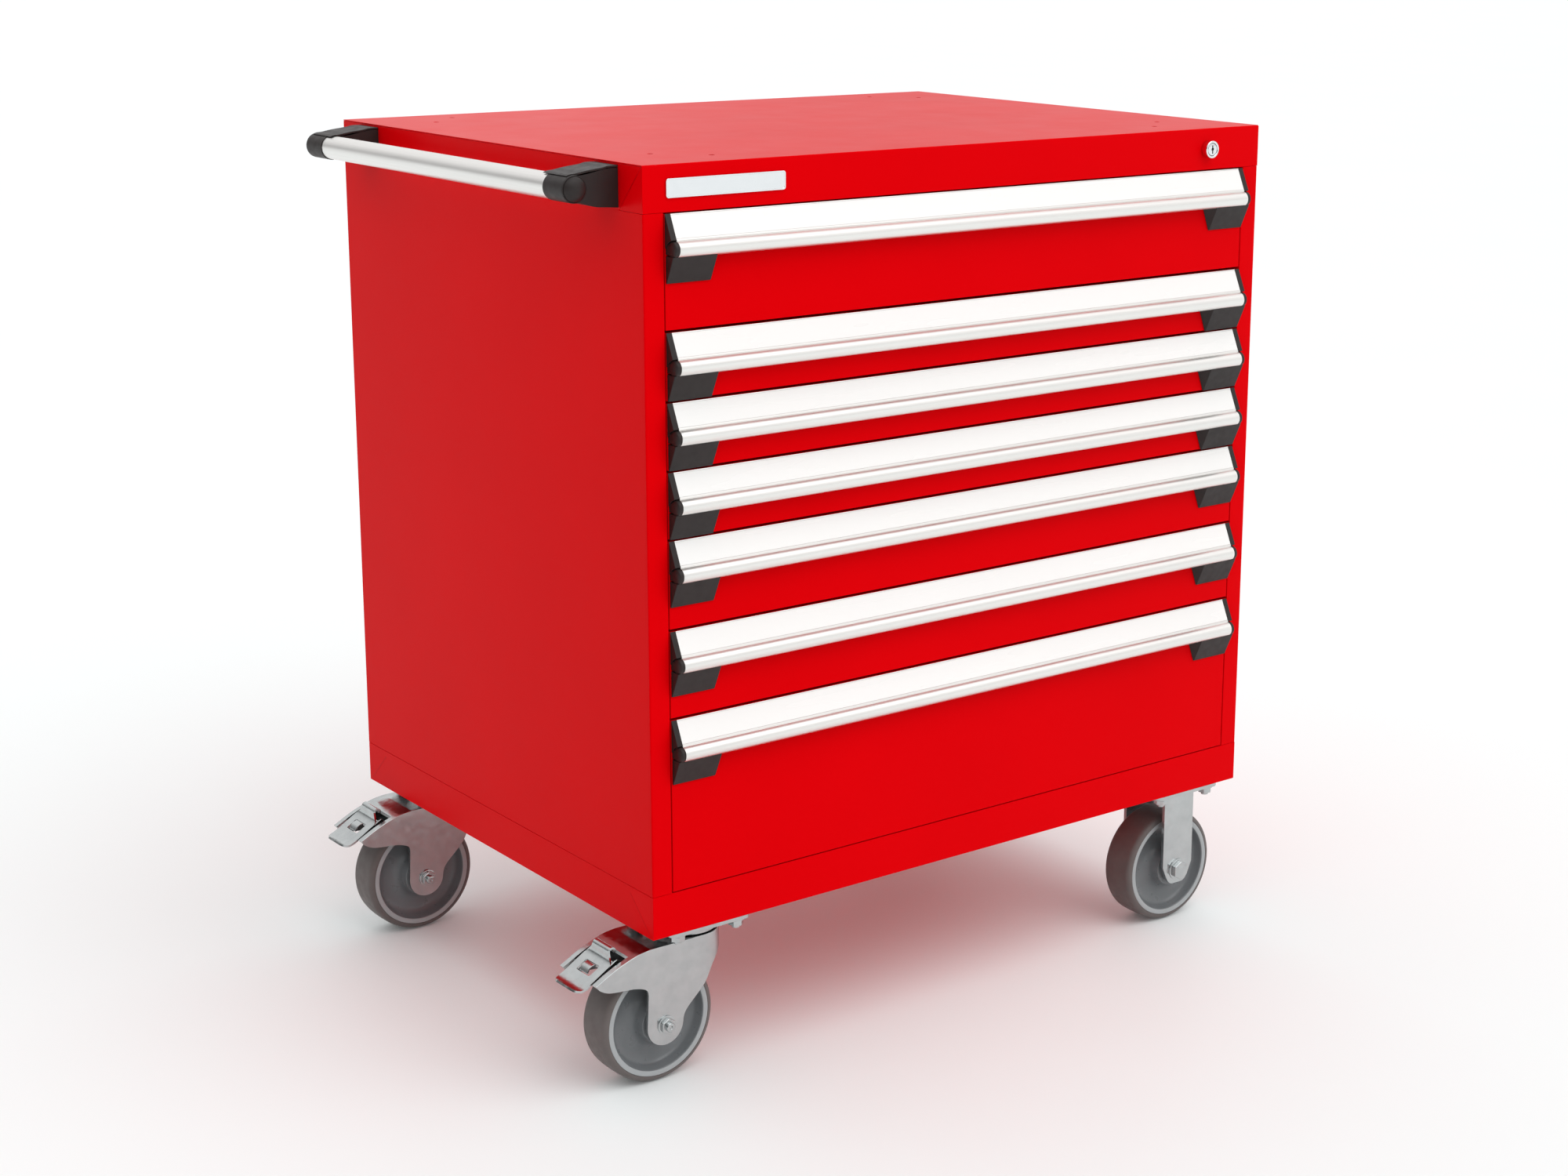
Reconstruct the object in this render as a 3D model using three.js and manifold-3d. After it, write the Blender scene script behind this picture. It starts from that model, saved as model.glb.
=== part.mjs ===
// Rolling tool chest: a welded sheet-steel carcase with seven full-extension drawers, a side push
// handle, a central lock with a hooked lock bar, two total-lock swivel casters and two rigid casters.
// Millimetres. X runs to the right seen from the front, Y to the rear, Z up. The pieces are modelled
// with the carcase's front left bottom corner at the origin, and the finished group is moved so that
// its origin is at the middle of its footprint, on the floor.
import * as THREE from "three";
import { mergeVertices } from "three/addons/utils/BufferGeometryUtils.js";
import Module from "manifold-3d";

const wasm = await Module();
wasm.setup();

// ---- Driving dimensions ----

// Carcase
const CASE_W = 914.4;
const CASE_D = 685.8;
const DRAWER_UNIT = 25.4;
const DRAWER_UNITS = [5, 3, 3, 3, 4, 4, 8]; // drawer heights from the top down
const TOP_BAND_H = 50.8;
const BASE_H = 50.8;
const STILE_W = 25.4;
const SHEET = 1.2;
const SEAM = 0.3; // gap left between touching sheets and parts
const STILE_RETURN = 20;
const REAR_RETURN = 15;
const BAND_RETURN = 45; // how far the top band's mitred ends reach back along the sides
const BASE_LIP = 20;
const TOP_HOLE_R = 3.5;
const TOP_HOLES = [
  { fromSide: 77, fromFront: 104, fromRear: 97 },
  { fromSide: 126, fromFront: 57, fromRear: 47 },
];
const STIFFENER_H = 22;
const STIFFENER_INSET = 30;
const STIFFENER_SETBACK = 10; // inside the caster plate's edges

// Runner walls and drawer slides
const LINER_FRONT_GAP = 10; // between the stile's return and the runner wall, where the lock hooks pass
const LINER_REAR_GAP = 12;
const LINER_FLANGE_GAP = 2;
const SLIDE_REAR_GAP = 38.6; // slide rear end to the runner wall's rear edge
const SLIDE_SETBACK = 4; // slide front end behind the runner wall's front edge
const SLIDE_Z = 45; // slide centre line above the drawer's lower edge
const SLIDE_GAP = 13.6; // runner wall to drawer side
const SLIDE_SHEET = 1.4;
const BALL_ROOM = 1; // room between nested slide members
const FIXED_HALF_H = 20;
const FIXED_LIP = 9;
const MIDDLE_X = 3.2;
const MIDDLE_LIP = 7.2;
const INNER_X = 6.4;
const MIDDLE_SHORTER = 40; // the middle member ends this much before the others

// Drawers
const DRAWER_SHEET = 1;
const FRONT_GAP = 1.5; // drawer front to stile
const FRONT_FOOT = 1.2;
const FRONT_HEAD = 1.8;
const FRONT_DEPTH = 15;
const BOX_FLOOR_Z = 4;
const BOX_TOP_DROP = 14;
const BOX_REAR_GAP = 44;

// Drawer pull: sloping face, round bead, finger hollow, end caps with corner brackets
const PULL_TOP = 1.5; // below the drawer's upper edge
const PULL_WALL = 1.8;
const SLOPE_Y = 12.6;
const SLOPE_Z = 29;
const BEAD_Y = 10.6;
const BEAD_Z = 38.6;
const BEAD_R = 9;
const BEAD_STEPS = 9;
const PULL_LEG_Z = 22;
const CAP_T = 7;
const BRACKET_W = 57;
const BRACKET_Z = 75.6;
const BRACKET_TOP_Y = 15.6;
const BRACKET_TOP_Z = 46;
const BRACKET_FOOT_Y = 2;

// Lock
const LOCK_FROM_RIGHT = 88.9;
const BARREL_R = 10.8;
const BARREL_PROUD = 9.5;
const NECK_R = 9;
const NECK_LENGTH = 8.5;
const LOCK_NUT_R = 12;
const LOCK_NUT_T = 4;
const PLUG_R = 7.5;
const PLUG_CLEARANCE = 0.2;
const PLUG_RECESS = 0.5;
const KEYWAY_HALF = [1, 4.5];
const KEYWAY_DEPTH = 2.5;
const CAM_R = 12;
const CAM_T = 2;
const CAM_GAP = 0.3;
const CAM_PIN_R = 2.5;
const LOCK_LIFT = 12;
const LOCK_TURN = Math.PI / 2;
const LOCK_BAR_T = 2;
const LOCK_BAR_GAP = 1.2;
const LOCK_BAR_DEPTH = 15;
const LOCK_ARM_H = 17;
const LOCK_BAR_X = 5; // beyond the stile's inner edge
const LOCK_BAR_FOOT = 2;
const SLOT_CLEARANCE = 0.6;
const HOOK_H = 8;
const HOOK_FOOT = 4;
const HOOK_REACH = 9; // inside the stile's inner edge
const CATCH_GAP = 2;
const CATCH_H = 9;
const CATCH_T = 2;
const CATCH_REACH = 8.5;

// Blank plate on the top band
const PLATE_X = 28.7;
const PLATE_W = 154.3;
const PLATE_H = 20.7;
const PLATE_T = 1.5;

// Push handle on the left side
const TUBE_R = 14;
const TUBE_WALL = 2;
const TUBE_X = 56.5; // tube axis outside the side panel
const TUBE_DROP = 25.3; // tube axis below the top
const TUBE_END = 53;
const SLEEVE_R = 15;
const SLEEVE_START = 43;
const SLEEVE_L = 40;
const DOME_H = 8;
const ARM_START = 46.7;
const ARM_W = 46.6;
const ARM_ROOT_TOP = 3.1; // below the top
const ARM_ROOT_H = 45;
const ARM_SHOULDER = 14;
const BORE_CLEARANCE = 0.3;
const TUBE_SEGMENTS = 24;

// Casters
const CASTER_FROM_LEFT = 80;
const CASTER_FROM_RIGHT = 80.4;
const CASTER_FROM_END = 58;
const WHEEL_R = 75;
const WHEEL_W = 48;
const WHEEL_SEGMENTS = 24; // flats keep it from rolling on a gentle slope
const WHEEL_TOP_GAP = 17.6; // wheel to the fork's crown
const HUB_GAP = 4; // hub end to the fork's leg
const HUB_R = 20;
const RIM_R = 60;
const SHOULDER = 6;
const WEB_T = 30;
const AXLE_R = 8;
const AXLE_CLEARANCE = 0.3;
const MOUNT_PLATE_X = 110;
const MOUNT_PLATE_Y = 112;
const MOUNT_PLATE_T = 5;
const MOUNT_HOLES_X = 80;
const MOUNT_HOLES_Y = 90;
const MOUNT_HOLE_R = 5;
const FORK_OUTER_W = 78;
const FORK_SHEET = 4;

// Swivel casters
const TRAIL = 52.5; // wheel axle to the left of the swivel axis
const RACE_R = 38;
const RACE_H = 13;
const SWIVEL_GAP = 0.4;
const KINGPIN_R = 8;
const KINGPIN_CLEARANCE = 0.3;
const KINGPIN_NUT_R = 13;
const KINGPIN_NUT_H = 8;
const NOSE_H = 34; // round nose's height, from the base down
const LEG_END_R = 23;
const LEG_NECK = [[12, -59], [4, -77]]; // leg's front edge, from the swivel axis and the base
const CHEEK_EDGE = [[-31, -61], [-74, -57], [-88, -50], [-92, -44], [-58, -31]]; // from the axle and the base
const CHEEK_ROOT_Z = 68;
const CROWN_REACH = 18.5; // crown's edge past the axle
const CROWN_INSET = 1;
const RAMP_L = 24; // sloped web from the crown towards the pedal
const RAMP_DROP = 5;
const CHEEK_DROP = 5.1;
const PEDAL_PIVOT = [-45.5, -42]; // from the axle and the base, as the pedal's other points are
const PEDAL_GAP = 8; // pedal's side to the fork's leg
const PEDAL_T = 3;
const PEDAL_PLATE = [[-50.5, -14], [-58.5, -16], [-62.5, -28], [-92.5, -46], [-104.5, -52], [-111.5, -49]];
const PEDAL_EAR = [[-55.5, -24], [-77.5, -37], [-51.5, -46], [-40.5, -46], [-40.5, -37]];
const PEDAL_SLOT = { near: 69.5, far: 85.5, half: 13 };
const PEDAL_PIN_R = 4;
const PEDAL_EAR_T = 3;
const RIVET_R = 10;
const RIVET_T = 1.5;

// Rigid casters
const RIGID_LEG_W = 52;
const RIGID_LEG_T = 5;
const RIGID_CHAMFER = 12;
const RIGID_CHAMFER_H = 25;
const RIGID_ROUND = { x: 6, z: 2 }; // eased corner at the chamfer's lower end
const RIGID_LEG_END = 19; // below the axle
const BOLT_HEAD_R = 13.9;
const BOLT_HEAD_T = 8;

// ---- Values that follow from them ----

const OPENING_H = DRAWER_UNIT * DRAWER_UNITS.reduce((sum, units) => sum + units, 0);
const CASE_H = BASE_H + OPENING_H + TOP_BAND_H;
const BAND_Z = CASE_H - TOP_BAND_H;
const PANEL_TOP = CASE_H - SHEET - SEAM;
const LINER_Y = STILE_RETURN + LINER_FRONT_GAP;
const LINER_REAR = CASE_D - SHEET - LINER_REAR_GAP;
const SLIDE_Y = LINER_Y + SLIDE_SETBACK;
const SLIDE_L = LINER_REAR - SLIDE_REAR_GAP - SLIDE_Y;
const MIDDLE_L = SLIDE_L - MIDDLE_SHORTER;
const BOX_X = STILE_W + SLIDE_GAP;
const BOX_REAR = CASE_D - BOX_REAR_GAP;
const LOCK_X = CASE_W - LOCK_FROM_RIGHT;
const LOCK_Z = BAND_Z + TOP_BAND_H / 2;
const CAM_RADIUS = LOCK_LIFT / 2 / Math.sin(LOCK_TURN / 2);
const CAM_PIN_X = CAM_RADIUS * Math.cos(LOCK_TURN / 2);
const LOCK_BAR_Y = NECK_LENGTH + CAM_GAP + CAM_T + LOCK_BAR_GAP;
const HOOK_Y = LOCK_BAR_Y + LOCK_BAR_DEPTH - LOCK_BAR_T;
const CATCH_Y = HOOK_Y + LOCK_BAR_T + CATCH_GAP;
const CATCH_Z = HOOK_FOOT + HOOK_H + CATCH_GAP;
const LEG_INNER = FORK_OUTER_W / 2 - FORK_SHEET;
const CROWN_TOP = -(MOUNT_PLATE_T + RACE_H + SWIVEL_GAP);
const CROWN_BOTTOM = CROWN_TOP - FORK_SHEET;
const AXLE_Z = CROWN_BOTTOM - WHEEL_TOP_GAP - WHEEL_R;
const HUB_HALF = LEG_INNER - HUB_GAP;
const PEDAL_HALF = LEG_INNER - PEDAL_GAP;

// ---- Finishes ----

const paint = new THREE.MeshStandardMaterial({ color: 0xd40008, roughness: 0.35, metalness: 0 });
const aluminium = new THREE.MeshStandardMaterial({ color: 0xd9d9d6, roughness: 0.35, metalness: 1 });
const zinc = new THREE.MeshStandardMaterial({ color: 0xc3c7c8, roughness: 0.3, metalness: 1 });
const chrome = new THREE.MeshStandardMaterial({ color: 0xe4e6e8, roughness: 0.1, metalness: 1 });
const slideSteel = new THREE.MeshStandardMaterial({ color: 0xb4b8ba, roughness: 0.4, metalness: 1 });
const plastic = new THREE.MeshStandardMaterial({ color: 0x2e2829, roughness: 0.55, metalness: 0 });
const tread = new THREE.MeshStandardMaterial({ color: 0x4a4543, roughness: 0.7, metalness: 0 });

// ---- Shapes ----

// A three.js geometry as a solid for joining and cutting. Coordinates are kept to a thousandth of a
// millimetre, so that faces meant to lie in one plane do.
function solid(geometry) {
  const bare = geometry.clone();
  bare.deleteAttribute("normal");
  bare.deleteAttribute("uv");
  const coordinates = bare.attributes.position.array;
  coordinates.forEach((value, i) => {
    coordinates[i] = Math.round(value * 1000) / 1000;
  });
  const merged = mergeVertices(bare, 1e-4);
  const vertProperties = merged.attributes.position.array;
  const triVerts = new Uint32Array(merged.index.array);
  return new wasm.Manifold(new wasm.Mesh({ numProp: 3, vertProperties, triVerts }));
}

function join(...solids) {
  return solids.reduce((whole, piece) => whole.add(piece));
}

function cut(whole, ...tools) {
  return tools.reduce((rest, tool) => rest.subtract(tool), whole);
}

// A named mesh from a solid.
function part(name, body, material) {
  const { vertProperties, triVerts } = body.getMesh();
  const geometry = new THREE.BufferGeometry();
  geometry.setAttribute("position", new THREE.BufferAttribute(new Float32Array(vertProperties), 3));
  geometry.setIndex(new THREE.BufferAttribute(new Uint32Array(triVerts), 1));
  geometry.computeVertexNormals();
  const mesh = new THREE.Mesh(geometry, material);
  mesh.name = name;
  return mesh;
}

function box(x0, x1, y0, y1, z0, z1) {
  const geometry = new THREE.BoxGeometry(x1 - x0, y1 - y0, z1 - z0);
  return solid(geometry.translate((x0 + x1) / 2, (y0 + y1) / 2, (z0 + z1) / 2));
}

function extrusion(outline, depth) {
  const shape = new THREE.Shape(outline.map(([u, v]) => new THREE.Vector2(u, v)));
  return new THREE.ExtrudeGeometry(shape, { depth, bevelEnabled: false });
}

const ALONG_X = new THREE.Matrix4().makeBasis(
  new THREE.Vector3(0, 1, 0),
  new THREE.Vector3(0, 0, 1),
  new THREE.Vector3(1, 0, 0),
);
const ALONG_Y = new THREE.Matrix4().makeBasis(
  new THREE.Vector3(1, 0, 0),
  new THREE.Vector3(0, 0, 1),
  new THREE.Vector3(0, -1, 0),
);

// Prisms: a (y, z) outline along X, an (x, z) outline along Y and an (x, y) outline along Z.
function prismX(outline, x0, x1) {
  return solid(extrusion(outline, x1 - x0).applyMatrix4(ALONG_X).translate(x0, 0, 0));
}

function prismY(outline, y0, y1) {
  return solid(extrusion(outline, y1 - y0).applyMatrix4(ALONG_Y).translate(0, y1, 0));
}

function prismZ(outline, z0, z1) {
  return solid(extrusion(outline, z1 - z0).translate(0, 0, z0));
}

// Points on an arc, angles in degrees, both ends included.
function arc(cu, cv, radius, from, to, steps) {
  return Array.from({ length: steps + 1 }, (_, i) => {
    const angle = THREE.MathUtils.degToRad(from + ((to - from) * i) / steps);
    return [cu + radius * Math.cos(angle), cv + radius * Math.sin(angle)];
  });
}

function circle(cu, cv, radius, segments = 16, start = 0) {
  return arc(cu, cv, radius, start, start + 360, segments).slice(0, -1);
}

// A solid of revolution about the Y axis from a closed (radius, y) profile.
function turned(profile, segments, start = 0) {
  const points = [...profile, profile[0]].map(([radius, y]) => new THREE.Vector2(radius, y));
  return solid(new THREE.LatheGeometry(points, segments, start));
}

// A left-hand body as it is, or mirrored across the middle of the carcase.
function forSide(body, isLeft) {
  return isLeft ? body : body.mirror([1, 0, 0]).translate(CASE_W, 0, 0);
}

function group(...children) {
  return new THREE.Group().add(...children);
}

function placed(object, x, y, z) {
  object.position.set(x, y, z);
  return object;
}

// ---- Carcase ----

// One side: stile and its return at the front, flat side, return at the rear. The front upper corner
// is cut away for the top band's mitred end.
function sidePanel(name, isLeft) {
  const rear = CASE_D - SHEET - SEAM;
  const plan = [
    [0, 0],
    [STILE_W, 0],
    [STILE_W, STILE_RETURN],
    [STILE_W - SHEET, STILE_RETURN],
    [STILE_W - SHEET, SHEET],
    [SHEET, SHEET],
    [SHEET, rear - SHEET],
    [REAR_RETURN, rear - SHEET],
    [REAR_RETURN, rear],
    [0, rear],
  ];
  const mitreGap = 2 * SEAM;
  const corner = [
    [-1, BAND_Z - SEAM],
    [BAND_RETURN + mitreGap, BAND_Z - SEAM],
    [BAND_RETURN + mitreGap, BAND_Z],
    [mitreGap, CASE_H],
    [-1, CASE_H],
  ];
  const stileTop = box(SHEET, STILE_W + 1, -1, STILE_RETURN + 1, BAND_Z - SEAM, CASE_H);
  const blank = prismZ(plan, BASE_H + SEAM, PANEL_TOP);
  const left = cut(blank, prismX(corner, -1, STILE_W + 1), stileTop);
  return part(name, forSide(left, isLeft), paint);
}

// Top sheet, front band and the band's mitred ends in one folded piece, with a lip between the stiles.
function topCover() {
  const under = CASE_H - SHEET;
  const side = [
    [0, BAND_Z],
    [BAND_RETURN, BAND_Z],
    [SHEET, under],
    [CASE_D, under],
    [CASE_D, CASE_H],
    [0, CASE_H],
  ];
  const behindBand = [
    [SHEET, BAND_Z + SHEET],
    [STILE_RETURN, BAND_Z + SHEET],
    [STILE_RETURN, BAND_Z - 1],
    [BAND_RETURN + 1, BAND_Z - 1],
    [BAND_RETURN + 1, under],
    [SHEET, under],
  ];
  const folded = cut(
    prismX(side, 0, CASE_W),
    prismX(behindBand, SHEET, CASE_W - SHEET),
    box(SHEET, STILE_W, SHEET, BAND_RETURN, BAND_Z - 1, under),
    box(CASE_W - STILE_W, CASE_W - SHEET, SHEET, BAND_RETURN, BAND_Z - 1, under),
  );
  const lockHole = prismY(circle(LOCK_X, LOCK_Z, NECK_R + SEAM, 20), -1, SHEET + 1);
  const holes = [];
  for (const { fromSide, fromFront, fromRear } of TOP_HOLES) {
    for (const x of [fromSide, CASE_W - fromSide]) {
      for (const y of [fromFront, CASE_D - fromRear]) {
        holes.push(prismZ(circle(x, y, TOP_HOLE_R, 12), CASE_H - 2 * SHEET, CASE_H + 1));
      }
    }
  }
  return part("top_cover", cut(folded, lockHole, ...holes), paint);
}

function backPanel() {
  const body = box(0, CASE_W, CASE_D - SHEET, CASE_D, BASE_H + SEAM, PANEL_TOP);
  return part("back_panel", body, paint);
}

// The base is a folded tray with a lip under the stiles and two hat-section stiffeners over the casters.
function baseTray() {
  const x1 = CASE_W - SHEET;
  const y1 = CASE_D - SHEET;
  const tray = cut(
    box(0, CASE_W, 0, CASE_D, 0, BASE_H),
    box(SHEET, x1, SHEET, y1, SHEET, BASE_H - SHEET),
    box(SHEET, x1, BASE_LIP, y1, BASE_H / 2, BASE_H + 1),
  );
  const stiffeners = [CASTER_FROM_END, CASE_D - CASTER_FROM_END].map((y) => {
    const half = MOUNT_PLATE_Y / 2 - STIFFENER_SETBACK;
    const hat = box(STIFFENER_INSET, CASE_W - STIFFENER_INSET, y - half, y + half, SHEET / 2, STIFFENER_H);
    return cut(hat, box(0, CASE_W, y - half + SHEET, y + half - SHEET, 0, STIFFENER_H - SHEET));
  });
  return part("base_tray", join(tray, ...stiffeners), paint);
}

// ---- Runner walls and slides ----

// Heights of the drawers' lower edges, from the top drawer down.
const DRAWERS = [];
DRAWER_UNITS.reduce((top, units) => {
  const height = units * DRAWER_UNIT;
  DRAWERS.push({ number: DRAWERS.length + 1, height, z: top - height });
  return top - height;
}, BAND_Z);

// A U section open towards +X: back face at x, half height half, lips reaching lip from the back.
function channel(x, half, lip, y, length, z) {
  const outer = box(x, x + lip, y, y + length, z - half, z + half);
  const inner = half - SLIDE_SHEET;
  return cut(outer, box(x + SLIDE_SHEET, x + lip + 1, y - 1, y + length + 1, z - inner, z + inner));
}

const MIDDLE_HALF_H = FIXED_HALF_H - SLIDE_SHEET - BALL_ROOM;
const INNER_HALF_H = MIDDLE_HALF_H - SLIDE_SHEET - BALL_ROOM;

// The inner side sheet with a fixed slide rail for each drawer.
function runnerWall(name, isLeft) {
  const z0 = BASE_H + SEAM;
  const z1 = BAND_Z - SEAM;
  const x0 = SHEET + SEAM;
  const sheet = box(STILE_W - SHEET, STILE_W, LINER_Y, LINER_REAR, z0, z1);
  const flanges = [
    box(x0, STILE_W, LINER_REAR - SHEET, LINER_REAR, z0, z1),
    box(x0, STILE_W, LINER_Y + LINER_FLANGE_GAP, LINER_REAR, z0, z0 + SHEET),
    box(x0, STILE_W, LINER_Y + LINER_FLANGE_GAP, LINER_REAR, z1 - SHEET, z1),
  ];
  const rails = DRAWERS.map(({ z }) => {
    const back = STILE_W - SHEET / 2;
    return channel(back, FIXED_HALF_H, FIXED_LIP + SHEET / 2, SLIDE_Y, SLIDE_L, z + SLIDE_Z);
  });
  return part(name, forSide(join(sheet, ...flanges, ...rails), isLeft), slideSteel);
}

function middleSlide(name, isLeft, z) {
  const x = STILE_W + MIDDLE_X;
  const body = channel(x, MIDDLE_HALF_H, MIDDLE_LIP, SLIDE_Y, MIDDLE_L, z + SLIDE_Z);
  return part(name, forSide(body, isLeft), slideSteel);
}

// ---- Drawers ----

// A drawer box with a double-skinned front, the inner slide members on its sides and the lock catch
// on its right side. z is measured from the drawer's lower edge.
function drawerBox(name, height) {
  const frontX = STILE_W + FRONT_GAP;
  const frontTop = height - FRONT_HEAD;
  const boxTop = height - BOX_TOP_DROP;
  const right = CASE_W - BOX_X;
  const pan = cut(
    box(frontX, CASE_W - frontX, 0, FRONT_DEPTH, FRONT_FOOT, frontTop),
    box(
      frontX + DRAWER_SHEET,
      CASE_W - frontX - DRAWER_SHEET,
      DRAWER_SHEET,
      FRONT_DEPTH - DRAWER_SHEET,
      FRONT_FOOT - 1,
      frontTop - DRAWER_SHEET,
    ),
  );
  const tub = cut(
    box(BOX_X, right, FRONT_DEPTH - DRAWER_SHEET, BOX_REAR, BOX_FLOOR_Z, boxTop),
    box(
      BOX_X + DRAWER_SHEET,
      right - DRAWER_SHEET,
      FRONT_DEPTH,
      BOX_REAR - DRAWER_SHEET,
      BOX_FLOOR_Z + DRAWER_SHEET,
      height,
    ),
  );
  const innerX = STILE_W + INNER_X;
  const reach = SLIDE_GAP - INNER_X + DRAWER_SHEET / 2;
  const member = channel(innerX, INNER_HALF_H, reach, SLIDE_Y, SLIDE_L, SLIDE_Z);
  const inside = BOX_X + DRAWER_SHEET / 2;
  const catchX = CASE_W - inside + CATCH_REACH;
  const lug = box(CASE_W - inside, catchX, CATCH_Y, CATCH_Y + CATCH_T, CATCH_Z, CATCH_Z + CATCH_H);
  const members = [member, forSide(member, false)];
  return part(name, join(pan, tub, ...members, lug), paint);
}

// The pull's section in (y, z), z measured down from the drawer's upper edge.
function pullSection() {
  const slope = new THREE.Vector2(-SLOPE_Y + SEAM, PULL_TOP - SLOPE_Z).normalize();
  const inner = new THREE.Vector2(-slope.y, slope.x).multiplyScalar(PULL_WALL);
  const innerFoot = [-SLOPE_Y + inner.x, -SLOPE_Z + inner.y];
  const legBack = -SEAM - PULL_WALL;
  const run = (legBack - innerFoot[0]) / slope.x;
  return [
    [-SEAM, -PULL_TOP],
    [-SLOPE_Y, -SLOPE_Z],
    ...arc(-BEAD_Y, -BEAD_Z, BEAD_R, 100, 297, BEAD_STEPS),
    ...arc(-BEAD_Y, -BEAD_Z, BEAD_R - PULL_WALL, 297, 100, BEAD_STEPS),
    innerFoot,
    [legBack, innerFoot[1] + run * slope.y],
    [legBack, -PULL_LEG_Z],
    [-SEAM, -PULL_LEG_Z],
  ];
}

// The closed outline of an end cap: it follows the section's outside and fills it to the back.
function capOutline() {
  return [
    [-SEAM, -PULL_TOP],
    [-SLOPE_Y, -SLOPE_Z],
    ...arc(-BEAD_Y, -BEAD_Z, BEAD_R, 100, 236, BEAD_STEPS),
    [-BRACKET_FOOT_Y, -BRACKET_Z],
    [-SEAM, -BRACKET_Z],
  ];
}

const CORNER_BRACKET = [
  [-BRACKET_TOP_Y, -BRACKET_TOP_Z],
  [-BRACKET_FOOT_Y, -BRACKET_Z],
  [-SEAM, -BRACKET_Z],
  [-SEAM, -BRACKET_TOP_Z],
];

function drawerPull(name) {
  const x0 = STILE_W + FRONT_GAP;
  const rail = prismX(pullSection(), x0 + CAP_T / 2, CASE_W - x0 - CAP_T / 2);
  const cap = prismX(capOutline(), x0, x0 + CAP_T);
  const bracket = prismX(CORNER_BRACKET, x0, x0 + BRACKET_W);
  const end = join(cap, bracket);
  return part(name, join(rail, end, forSide(end, false)), aluminium);
}

function drawer({ number, height, z }) {
  const name = `drawer_${number}`;
  const pull = placed(drawerPull(`${name}_pull`), 0, 0, height);
  return placed(group(drawerBox(`${name}_box`, height), pull), 0, 0, z);
}

// ---- Lock ----

// Barrel with a bright front ring, threaded neck through the band and a nut behind it.
function lockBarrel() {
  const ring = prismY(circle(LOCK_X, LOCK_Z, BARREL_R, 24), -BARREL_PROUD, -SEAM);
  const neck = prismY(circle(LOCK_X, LOCK_Z, NECK_R, 20), -SEAM, NECK_LENGTH);
  const nutY = SHEET + SEAM;
  const nut = prismY(circle(LOCK_X, LOCK_Z, LOCK_NUT_R, 6), nutY, nutY + LOCK_NUT_T);
  const bore = circle(LOCK_X, LOCK_Z, PLUG_R + PLUG_CLEARANCE, 24);
  const hollow = prismY(bore, -BARREL_PROUD - 1, NECK_LENGTH + 1);
  return part("lock_barrel", cut(join(ring, neck, nut), hollow), chrome);
}

// Keyed plug with the cam and its drive pin at the rear.
function lockPlug() {
  const camY = NECK_LENGTH + CAM_GAP;
  const pinEnd = LOCK_BAR_Y + LOCK_BAR_T + 1;
  const pinX = LOCK_X - CAM_PIN_X;
  const pinZ = LOCK_Z - LOCK_LIFT / 2;
  const plug = prismY(circle(LOCK_X, LOCK_Z, PLUG_R, 24), PLUG_RECESS - BARREL_PROUD, camY);
  const cam = prismY(circle(LOCK_X, LOCK_Z, CAM_R, 24), camY, camY + CAM_T);
  const pin = prismY(circle(pinX, pinZ, CAM_PIN_R, 12), camY + CAM_T / 2, pinEnd);
  const [kx, kz] = KEYWAY_HALF;
  const keyFloor = PLUG_RECESS - BARREL_PROUD + KEYWAY_DEPTH;
  const keyway = box(LOCK_X - kx, LOCK_X + kx, -BARREL_PROUD, keyFloor, LOCK_Z - kz, LOCK_Z + kz);
  return part("lock_plug", cut(join(plug, cam, pin), keyway), chrome);
}

// Bent bar: a slotted arm behind the band, a leg down the right stile and a hook for each drawer.
function lockBar() {
  const legX = CASE_W - STILE_W + LOCK_BAR_X;
  const pinX = LOCK_X - CAM_PIN_X;
  const pinZ = LOCK_Z - LOCK_LIFT / 2;
  const armZ = pinZ - LOCK_ARM_H / 2;
  const slotHalf = CAM_PIN_R + SLOT_CLEARANCE;
  const sweep = CAM_RADIUS - CAM_PIN_X;
  const slot = box(
    pinX - sweep - slotHalf,
    pinX + slotHalf,
    LOCK_BAR_Y - 1,
    LOCK_BAR_Y + LOCK_BAR_T + 1,
    pinZ - slotHalf,
    pinZ + slotHalf,
  );
  const armEnd = pinX - CAM_R;
  const arm = box(armEnd, legX + LOCK_BAR_T, LOCK_BAR_Y, LOCK_BAR_Y + LOCK_BAR_T, armZ, armZ + LOCK_ARM_H);
  const foot = BASE_H + LOCK_BAR_FOOT;
  const legEnd = LOCK_BAR_Y + LOCK_BAR_DEPTH;
  const leg = box(legX, legX + LOCK_BAR_T, LOCK_BAR_Y, legEnd, foot, armZ + LOCK_ARM_H);
  const tip = CASE_W - STILE_W - HOOK_REACH;
  const hooks = DRAWERS.map(({ z }) => {
    return box(tip, legX + LOCK_BAR_T, HOOK_Y, legEnd, z + HOOK_FOOT, z + HOOK_FOOT + HOOK_H);
  });
  return part("lock_bar", join(cut(arm, slot), leg, ...hooks), slideSteel);
}

function blankPlate() {
  const z0 = LOCK_Z - PLATE_H / 2;
  const body = box(PLATE_X, PLATE_X + PLATE_W, -SEAM - PLATE_T, -SEAM, z0, z0 + PLATE_H);
  return part("blank_plate", body, chrome);
}

// ---- Push handle ----

function handleTube() {
  const length = CASE_D - 2 * TUBE_END;
  const inner = TUBE_R - TUBE_WALL;
  const profile = [[inner, 0], [TUBE_R, 0], [TUBE_R, length], [inner, length]];
  const mesh = part("handle_tube", turned(profile, TUBE_SEGMENTS), aluminium);
  return placed(mesh, -TUBE_X, TUBE_END, CASE_H - TUBE_DROP);
}

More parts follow.
